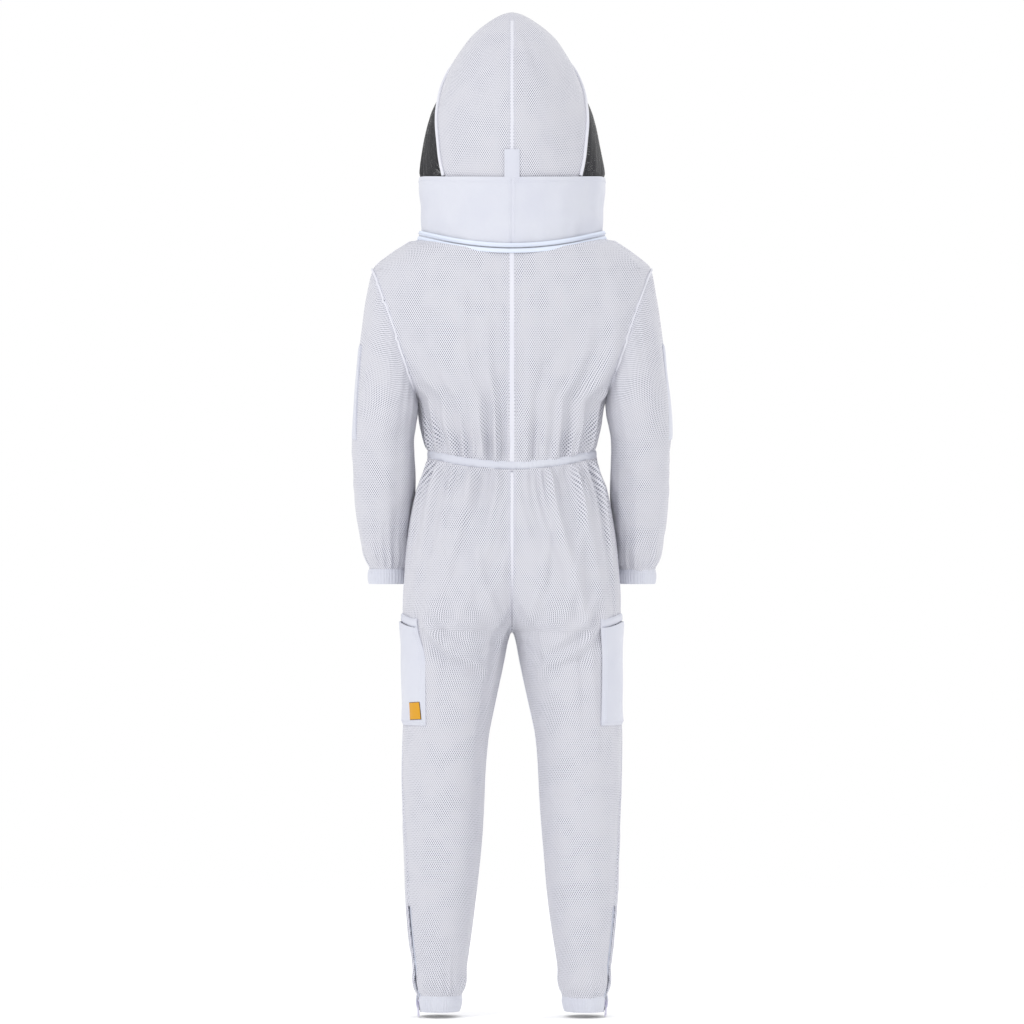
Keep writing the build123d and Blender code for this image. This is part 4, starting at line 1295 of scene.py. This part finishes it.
def ring_band(name, shape, low, radius, z_from, z_to, profile, material, how, slot_name, nodes,
              start=0.0, stop=2 * pi, ruche=0.0, seed=1, shrink=0.0, steps=360):
    """A band round an oval shell between two dipping lines; profile is its bulge in millimetres."""
    angle = np.linspace(start, stop, steps)
    v = np.linspace(0, 1, 15)[:, None]
    low_edge = edge_height(angle, shape, low, radius, z_from, low)
    high_edge = edge_height(angle, shape, low, radius, z_to, low)
    z = low_edge * (1 - v) + high_edge * v
    base = ring_points(shape, z, angle + 0 * z)
    middle = shape(z)[..., 1:].mean(-1)
    outward = np.stack([base[..., 0], base[..., 1] - middle, 0 * z], -1)
    normals = grid_normals(base, outward)
    around = angle * 150
    bulge = profile * np.sin(pi * v) ** 0.6 - shrink
    folds = np.cos(2 * pi * (around + 3.5 * noise_line(around, 16, seed)) / 7.5)
    folds *= 0.5 + np.abs(noise_line(around, 24, seed + 1))
    lift = bulge + ruche * folds * (0.55 + 0.45 * np.sin(pi * v))
    points = base + normals * lift[..., None]
    weave = np.stack([arc_lengths(base, 1), arc_lengths(base, 0)], -1)
    piece = grid_piece(name, points, material, COTTON_THICK, outward, weave)
    on_body(piece, how, slot_name, *nodes)
    normals = grid_normals(points, outward)
    return points, normals


placket_turn = PLACKET_HALF / 150
points, normals = ring_band(
    "waist_casing", torso_shape, WAIST_DIP, WAIST_RADIUS, -CASING_HALF, CASING_HALF, 2.6, cotton, TORSO_HOLD,
    "cotton", ["waist_casing"], -pi / 2 + placket_turn, 3 * pi / 2 - placket_turn,
    ruche=0.25, seed=7, steps=900,
)
rows = [edge_path(points, normals, row=r) for r in (3, 11)]
on_body(stitches("waist_casing_stitches", rows), TORSO_HOLD, "cotton")

ring_band("neck_tape_upper", hood_shape, NECK_DIP, NECK_RADIUS, 1.2, 8.8, 1.6, zip_cloth, HOOD_HOLD,
          "zip_tape", ["neck_zip_upper"], -pi / 2, 3 * pi / 2, shrink=-1.2)
ring_band("neck_tape_lower", hood_shape, NECK_DIP, NECK_RADIUS, -8.8, -1.2, 1.6, zip_cloth, TORSO_HOLD,
          "zip_tape", ["neck_zip_lower"], -pi / 2, 3 * pi / 2, shrink=-3.4)


def oval_line(angle, z_shift, lift):
    """Line round the neck ring, shifted up or down from the zip's middle."""
    z = edge_height(angle, hood_shape, NECK_DIP, NECK_RADIUS, z_shift, NECK_DIP)
    base, outward = hood_base(z, angle)
    outward = outward / np.linalg.norm(outward, axis=1, keepdims=True)
    return base + outward * lift, outward


turn = np.linspace(-pi / 2, 3 * pi / 2, 400)
for label, shift, how in (("upper", 1.5, HOOD_HOLD), ("lower", -1.5, TORSO_HOLD)):
    path, outward = oval_line(turn, shift, 1.6)
    on_body(bars_along(f"neck_coil_{label}", [(path, outward, (0, 0, 1))], coil_tree, white_plastic,
                       1.5, 1.1, 1.8, 3.2), how, "zip_tape")
    path, outward = oval_line(turn, 3.1 * shift, 3.9)
    on_body(stitches(f"neck_tape_{label}_stitches", [(path, outward, (0, 0, 1))]), how, "cotton")


# ---------------------------------------------------------------- tapes and tab on the centre line
def oval_back(shape):
    """Depth of an oval shell's back at a place across it and a height."""
    def depth(x, z):
        width, front, back = np.moveaxis(shape(z), -1, 0)
        return (front + back) / 2 + (back - front) / 2 * np.sqrt(1 - (x / width) ** 2)
    return depth


def rise_face(facing):
    """Depth of the trousers where the two legs meet, on the back (1) or the front (-1)."""
    def depth(x, z):
        middle_x, middle_y, half_width, half_depth = leg_oval(z)
        bow = np.sqrt(np.clip(1 - ((np.abs(x) - middle_x) / half_width) ** 2, 0, 1))
        return middle_y + facing * half_depth * bow
    return depth


def centre_strip(
    name, depth, z_from, z_to, half_width, lift, how, slot_name, material, nodes, rows_at, facing=1,
):
    """A flat tape down the centre, on the back (facing 1) or on the front (facing -1)."""
    z = np.linspace(z_from, z_to, max(12, int(abs(z_to - z_from) / 4)))[:, None]
    x = np.linspace(-half_width, half_width, 9)[None, :]
    edge = half_width - np.abs(x)
    rise = lift + 0.35 * ramp(edge, 0, 1.2) - 0.25 * np.exp(-((edge - 1.6) / 0.6) ** 2)
    sway = 0.5 * noise_line(z, 26, 5)
    base = np.stack([x + sway, depth(x, z), z + 0 * x], -1)
    outward = np.zeros_like(base)
    outward[..., 1] = facing
    if how == HOOD_HOLD:
        broad = 0
    elif z_from > -410:
        broad = body_swell(base)
    else:
        broad = leg_swell(base)
    points = base + outward * (rise + broad)[..., None]
    piece = grid_piece(name, points, material, 1.2, outward)
    on_body(piece, how, slot_name, *nodes)
    normals = grid_normals(points, outward)
    lines = [edge_path(points, normals, column=c, lift=0.15) for c in rows_at]
    on_body(stitches(name + "_stitches", lines), how, slot_name)


centre_strip("centre_back_tape", oval_back(torso_shape), -29, -400, 4.2, 0.9, TORSO_HOLD, "cotton",
             tape_cloth, ["centre_back_tape"], (1, 7))
centre_strip("seat_seam_tape", rise_face(1), -419, -690, 3.6, 0.2, TORSO_HOLD, "cotton", tape_cloth, [],
             (1, 7))
centre_strip("rise_seam_tape", rise_face(-1), -524, -690, 3.6, 0.2, TORSO_HOLD, "cotton", tape_cloth, [],
             (1, 7), -1)
centre_strip("hood_centre_tape", oval_back(hood_shape), 153, 392, 3.0, 0.6, HOOD_HOLD, "cotton", tape_cloth,
             ["hood_centre_tape"], (1, 7))
centre_strip("hood_tab", oval_back(hood_shape), 102, 155, 13.5, 1.5, HOOD_HOLD, "cotton", cotton,
             ["hood_tab"], (1, 7))


# ---------------------------------------------------------------- cuffs
def cuff(name, side, ring, turn, profile, ruche, seed, how, nodes):
    """Elastic cuff: a puffed, ruched band; ring gives its points for a share of its height and an angle."""
    v = np.linspace(0, 1, 17)[:, None]
    base, outward, around = ring(v, turn)
    normals = grid_normals(base, outward)
    folds = np.cos(2 * pi * (around + 2.6 * noise_line(around, 12, seed)) / 5.2)
    folds = folds * (0.4 + np.abs(noise_line(around, 17, seed + 1)))
    lift = profile * np.sin(pi * np.clip(v, 0.02, 0.98)) ** 0.5 - 1.6 * np.exp(-(v / 0.05) ** 2)
    lift = lift + ruche * folds * (0.4 + 0.6 * np.sin(pi * v)) - 0.7 * np.exp(-((v - 0.16) / 0.05) ** 2)
    points = base + normals * lift[..., None]
    weave = np.stack([arc_lengths(base, 1), arc_lengths(base, 0)], -1)
    piece = grid_piece(name, points, cotton, COTTON_THICK, outward, weave, side)
    on_body(piece, how, "cotton", *nodes)
    normals = grid_normals(points, outward)
    on_body(stitches(name + "_stitches", [edge_path(points, normals, row=3, side=side)]), how, "cotton")


def wrist_ring(v, turn):
    first, last = sleeve_row(WRIST_TOP + 1), sleeve_row(WRIST_HEM + 1)
    base = sleeve_ring(first + (last - first) * v + 0 * turn, turn + 0 * v)
    return base, base - base.mean(1, keepdims=True), turn * 34


def ankle_ring(v, turn):
    z = (ANKLE_TOP + 1) + (ANKLE_HEM - ANKLE_TOP) * v + 0 * turn
    middle_x, middle_y, _, _ = leg_oval(z)
    base = leg_points(z, turn + 0 * v)
    return base, np.stack([base[..., 0] - middle_x, base[..., 1] - middle_y, 0 * z], -1), turn * 44


slot_turn = ZIP_SLOT_HALF / 46
for side_name, side in SIDES:
    cuff(f"wrist_cuff_{side_name}", side, wrist_ring, np.linspace(pi, -pi, 301), 2.2, 0.8, 111 + side,
         ("rigid", f"lower_sleeve_{side_name}"), [f"wrist_cuff_{side_name}"])
    cuff(f"ankle_cuff_{side_name}", side, ankle_ring,
         np.linspace(ANKLE_ZIP_TURN + slot_turn, ANKLE_ZIP_TURN + 2 * pi - slot_turn, 301),
         2.2, 0.7, 121 + side, ("rigid", f"lower_leg_{side_name}"), [f"ankle_cuff_{side_name}"])


# ---------------------------------------------------------------- pockets
def thigh_patch(side, z_from, z_to, front_y, step=3.0):
    """Grid over the outer side of the thigh: points, outward, and distances from the four edges."""
    v = spread(abs(z_to - z_from), step)[:, None]
    z = z_from + (z_to - z_from) * v
    top_x, low_x = (169, 154) if side > 0 else (157, 160)
    back_x = top_x + (low_x - top_x) * ramp(-z, 674, 760)
    u = spread(150, step)
    z = z - 9 * (1 - ramp(u, 0, 0.55)) * ramp(z, -760, -690)
    middle_x, middle_y, half_width, half_depth = leg_oval(z)
    back = np.arccos(np.clip((back_x - middle_x) / half_width, -1, 1))
    front = np.arcsin(np.clip((front_y - middle_y) / half_depth, -1, 1))
    angle = back + (front - back) * u
    base = leg_points(z, angle)
    outward = np.stack([base[..., 0] - middle_x, base[..., 1] - middle_y, 0 * angle], -1)
    across, down = arc_lengths(base, 1), arc_lengths(base, 0)
    return base, outward, across, down


def thigh_pocket(side_name, side):
    """Side pocket with a welt over its mouth, sewn down on three sides."""
    how = hip_hold(side_name, side)
    base, outward, across, down = thigh_patch(side, POCKET_MOUTH, POCKET_FOOT, -57)
    normals = grid_normals(base, outward)
    back, front, low = across, across[:, -1:] - across, down[-1:] - down
    edge = np.minimum(np.minimum(back, front), low)
    world = base * np.array([side, 1, 1])
    slack = leg_swell(world)
    mouth = np.exp(-(down / 30) ** 2) * np.sin(pi * np.clip(back / (back + front), 0, 1)) ** 0.7
    lift = 1.8 + 2.8 * ramp(edge, 0, 6) + 2.6 * mouth - 0.7 * np.exp(-((edge - 4.5) / 1.2) ** 2)
    lift += slack + 1.3 * noise_at(world, (44, 44, 60), 131) * ramp(edge, 4, 20)
    points = base + normals * lift[..., None]
    piece = grid_piece(f"thigh_pocket_{side_name}", points, cotton, 2.6, outward,
                       np.stack([across, down], -1), side)
    on_body(piece, how, "cotton", f"thigh_pocket_{side_name}")
    normals = grid_normals(points, outward)
    middle = len(points) // 2
    rows = []
    for d in (4.5, 8.0):
        rows.append(edge_path(points, normals, column=nearest_line(back[middle], d), side=side))
        rows.append(edge_path(points, normals, column=nearest_line(front[middle], d), side=side))
        rows.append(edge_path(points, normals, row=nearest_line(low[:, 20], d), side=side))
    on_body(stitches(f"thigh_pocket_{side_name}_stitches", rows), how, "cotton")

    base, outward, across, down = thigh_patch(side, WELT_TOP, POCKET_MOUTH, -58, 2.5)
    normals = grid_normals(base, outward)
    edge = from_edges(across, down)
    world = base * np.array([side, 1, 1])
    lift = 2.2 + 2.0 * ramp(edge, 0, 4) + leg_swell(world)
    points = base + normals * lift[..., None]
    on_body(grid_piece(f"thigh_pocket_welt_{side_name}", points, cotton, 3.4, outward,
                       np.stack([across, down], -1), side), how, "cotton")
    normals = grid_normals(points, outward)
    rows = [edge_path(points, normals, row=nearest_line(down[:, 20], 2.6), side=side),
            edge_path(points, normals, row=nearest_line(down[-1, 20] - down[:, 20], 2.6), side=side)]
    on_body(stitches(f"thigh_pocket_welt_{side_name}_stitches", rows), how, "cotton")


for side_name, side in SIDES:
    thigh_pocket(side_name, side)


def pocket_label(name, material, grow, raise_by, thick, how, nodes):
    """Woven label on the left thigh pocket, set a few degrees off square."""
    u, v = np.meshgrid(np.linspace(-1, 1, 9), np.linspace(-1, 1, 11))
    half_width, half_height = LABEL_HALF_WIDTH + grow, LABEL_HALF_HEIGHT + grow
    lean = radians(4)
    s = half_width * u * np.cos(lean) - half_height * v * np.sin(lean)
    z = LABEL_Z + half_width * u * np.sin(lean) + half_height * v * np.cos(lean)
    middle_x, middle_y, reach_x, reach_y = leg_oval(z)
    middle_angle = np.arcsin((64 - middle_y) / reach_y)
    metric = np.hypot(reach_x * np.sin(middle_angle), reach_y * np.cos(middle_angle))
    base = leg_points(z, middle_angle + s / metric)
    outward = np.stack([base[..., 0] - middle_x, base[..., 1] - middle_y, 0 * z], -1)
    lift = 5.2 + raise_by + leg_swell(base)
    lift += 1.3 * noise_at(base, (44, 44, 60), 131)
    points = base + grid_normals(base, outward) * lift[..., None]
    piece = grid_piece(name, points, material, thick, outward)
    return on_body(piece, how, "label_patch", *nodes)


left_hip = hip_hold("left", 1)
pocket_label("label_border", dark_cloth, 0.9, 0.0, 1.0, left_hip, [])
pocket_label("label_patch", amber_cloth, 0.0, 0.5, 1.0, left_hip, ["label_patch"])


def chest_patch(x_from, x_to, z_from, z_to, step=3.2):
    """Grid over the front of the chest at the wearer's left."""
    v = spread(abs(z_to - z_from), step)[:, None]
    u = spread(x_to - x_from, step)
    x = x_from + (x_to - x_from) * u + 0 * v
    z = z_from + (z_to - z_from) * v + 0 * u
    width, front, back = np.moveaxis(torso_shape(z), -1, 0)
    y = (front + back) / 2 - (back - front) / 2 * np.sqrt(1 - (x / width) ** 2)
    base = np.stack([x, y, z], -1)
    outward = np.zeros_like(base)
    outward[..., 1] = -1
    across, down = arc_lengths(base, 1), arc_lengths(base, 0)
    edge = np.minimum(np.minimum(across, across[:, -1:] - across), down[-1:] - down)
    return base, outward, across, down, edge


base, outward, across, down, edge = chest_patch(42, 152, -118, -250)
lift = 2.6 + 1.8 * ramp(edge, 0, 6) - 0.6 * np.exp(-((edge - 4.5) / 1.2) ** 2) + body_swell(base)
points = base + grid_normals(base, outward) * lift[..., None]
piece = grid_piece("chest_pocket", points, cotton, 2.4, outward, np.stack([across, down], -1))
on_body(piece, TORSO_HOLD, "cotton", "chest_pocket")
normals = grid_normals(points, outward)
rows = [edge_path(points, normals, column=nearest_line(across[9], 4.5)),
        edge_path(points, normals, column=nearest_line(across[9, -1] - across[9], 4.5)),
        edge_path(points, normals, row=nearest_line(down[-1, 9] - down[:, 9], 4.5))]
on_body(stitches("chest_pocket_stitches", rows), TORSO_HOLD, "cotton")

base, outward, across, down, edge = chest_patch(40, 154, -100.5, -146)
lift = 5.6 + 0.8 * ramp(edge, 0, 4) + body_swell(base)
points = base + grid_normals(base, outward) * lift[..., None]
piece = grid_piece("chest_pocket_flap", points, cotton, 2.0, outward, np.stack([across, down], -1))
flap_hold = ("rigid", "chest_pocket_flap")
on_body(piece, flap_hold, "cotton", "chest_pocket_flap")
normals = grid_normals(points, outward)
rows = [edge_path(points, normals, column=nearest_line(across[5], 3.5)),
        edge_path(points, normals, column=nearest_line(across[5, -1] - across[5], 3.5)),
        edge_path(points, normals, row=nearest_line(down[-1, 9] - down[:, 9], 3.5)),
        edge_path(points, normals, row=nearest_line(down[:, 9], 3.5))]
on_body(stitches("chest_pocket_flap_stitches", rows), flap_hold, "cotton")


# ---------------------------------------------------------------- straight zips
def zip_tapes(name, line, out, across, near, far, how, sides, nodes):
    """Woven tapes beside a zip, with its coil; line is the middle of the tapes' face."""
    width = np.linspace(near, far, 9)
    for label_name, sign in sides:
        points = line[:, None] + (width * sign)[None, :, None] * across + 0 * out
        points = points + (0.25 * np.sin(np.linspace(0, 2 * pi * 1.0, 9)))[None, :, None] * out
        outward = np.broadcast_to(out, points.shape)
        tape = grid_piece(f"{name}_tape{label_name}", points, zip_cloth, 0.9, outward)
        on_body(tape, how, "zip_tape", *nodes.get(label_name, []))
        path = line + sign * 1.55 * across + 1.3 * out
        coil = bars_along(f"{name}_coil{label_name}", [(path, out, across)], coil_tree, white_plastic,
                          1.5, 1.1, 2.2, 3.1)
        on_body(coil, how, "zip_tape")
        seam = line + sign * (far - 2.5) * across + 0.4 * out
        on_body(stitches(f"{name}_tape{label_name}_stitches", [(seam, out, across)]), how, "cotton")


heights = np.linspace(-35, FRONT_ZIP_BOTTOM, 220)
line = np.stack([0 * heights, TAPE_FACE + 0 * heights, heights], -1)
zip_tapes("front_zip", line, np.array([0, -1.0, 0]), np.array([1.0, 0, 0]), 0.6, 17, TORSO_HOLD,
          (("_left", 1), ("_right", -1)), {"_left": ["front_zip_left"], "_right": ["front_zip_right"]})

heights = np.linspace(-1199.5, -1387.5, 120)
for side_name, side in SIDES:
    on_leg = leg_points(heights, np.full_like(heights, ANKLE_ZIP_TURN))
    middle_x, middle_y, half_width, half_depth = leg_oval(heights)
    out = np.stack([
        np.cos(ANKLE_ZIP_TURN) / half_width, np.sin(ANKLE_ZIP_TURN) / half_depth, 0 * heights,
    ], -1)
    out = out / np.linalg.norm(out, axis=1, keepdims=True)
    mirror = np.array([side, 1, 1])
    run = np.gradient(on_leg * mirror, axis=0)
    run = run / np.linalg.norm(run, axis=1, keepdims=True)
    out = out * mirror
    out = (out - run * (out * run).sum(1, keepdims=True)).mean(0)
    out = out / np.linalg.norm(out)
    across = np.cross(run.mean(0), out)
    zip_tapes(f"ankle_zip_{side_name}", on_leg * mirror - 3.8 * out, out, across, 0.6, 9.4,
              ("rigid", f"lower_leg_{side_name}"), (("_a", 1), ("_b", -1)),
              {"_a": [f"ankle_zip_{side_name}"]})


# ---------------------------------------------------------------- hard parts and elastics kept from the frame
def refinish(words, material):
    """Gives CAD nodes whose names start with any of the words a finish."""
    for node_name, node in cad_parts.items():
        if node_name.startswith(words):
            node.data.materials.clear()
            node.data.materials.append(material)


refinish(("waist_elastic", "wrist_elastic", "ankle_elastic"), elastic_cloth)
refinish(("veil_hoops",), hoop_plastic)
refinish(("front_zip_slider", "front_zip_pull", "neck_zip_slider", "neck_zip_pull"), painted_metal)
refinish(("ankle_zip_slider", "ankle_zip_pull"), painted_metal)


# ---------------------------------------------------------------- floor, light and camera
def studio_paint(name, colour, roughness):
    """Even matt paint with a very faint mottle."""
    material = bpy.data.materials.new(name)
    material.use_nodes = True
    nodes, links = material.node_tree.nodes, material.node_tree.links
    nodes.clear()
    place = nodes.new("ShaderNodeTexCoord")
    place.label = "place on the floor"
    mottle = nodes.new("ShaderNodeTexNoise")
    mottle.label = "faint mottle"
    mottle.inputs["Scale"].default_value = 3
    tone = nodes.new("ShaderNodeMix")
    tone.label = "paint colour"
    tone.data_type = "RGBA"
    tone.inputs["A"].default_value = (*colour, 1)
    tone.inputs["B"].default_value = (*(c * 0.99 for c in colour), 1)
    shader = nodes.new("ShaderNodeBsdfPrincipled")
    shader.label = "matt paint"
    shader.inputs["Roughness"].default_value = roughness
    shader.inputs["Specular IOR Level"].default_value = 0.1
    shader.inputs["Emission Color"].default_value = (1, 1, 1, 1)
    shader.inputs["Emission Strength"].default_value = 0.12
    output = nodes.new("ShaderNodeOutputMaterial")
    output.label = "floor"
    lay_out(nodes, (("paint", (place, mottle, tone)), ("surface", (shader, output))))
    links.new(place.outputs["Object"], mottle.inputs["Vector"])
    links.new(mottle.outputs["Fac"], tone.inputs["Factor"])
    links.new(tone.outputs["Result"], shader.inputs["Base Color"])
    links.new(shader.outputs["BSDF"], output.inputs["Surface"])
    return material


FLOOR = -1.3975
floor_mesh = bpy.data.meshes.new("floor")
floor_mesh.from_pydata([(-4, -4, FLOOR), (4, -4, FLOOR), (4, 4, FLOOR), (-4, 4, FLOOR)], [], [(0, 1, 2, 3)])
floor = link(floor_mesh, "floor", studio_paint("floor_paint", (0.93, 0.93, 0.93), 0.9))

world = bpy.data.worlds.new("studio")
bpy.context.scene.world = world
world.use_nodes = True
world.node_tree.nodes["Background"].inputs["Color"].default_value = (1, 1, 1, 1)
world.node_tree.nodes["Background"].inputs["Strength"].default_value = 1.0
bpy.context.scene.view_settings.view_transform = "Standard"


def softbox(name, place, aim, size, power):
    light = bpy.data.lights.new(name, "AREA")
    light.shape = "RECTANGLE"
    light.size, light.size_y = size
    light.energy = power
    lamp = bpy.data.objects.new(name, light)
    lamp.location = place
    lamp.rotation_mode = "QUATERNION"
    lamp.rotation_quaternion = (Vector(aim) - Vector(place)).to_track_quat("-Z", "Y")
    bpy.context.scene.collection.objects.link(lamp)


softbox("high_back_left", (2.3, 3.2, 1.8), (0, 0, -0.4), (1.0, 1.6), 44)
softbox("back_right", (-3.3, 2.6, 0.3), (0, 0, -0.5), (1.0, 2.0), 8)
softbox("high_front_right", (-2.8, -3.2, 1.7), (0, 0, -0.4), (1.6, 2.4), 30)

CAMERA_REACH = 12.0
FRAME_HEIGHT = 1.8432
SENSOR = 36.0
camera_data = bpy.data.cameras.new("camera")
camera_data.sensor_width = SENSOR
camera_data.lens = SENSOR * CAMERA_REACH / FRAME_HEIGHT
camera = bpy.data.objects.new("camera", camera_data)
camera.location = (0, CAMERA_REACH, -0.49)
camera.rotation_euler = (pi / 2, 0, pi)
bpy.context.scene.collection.objects.link(camera)
bpy.context.scene.camera = camera
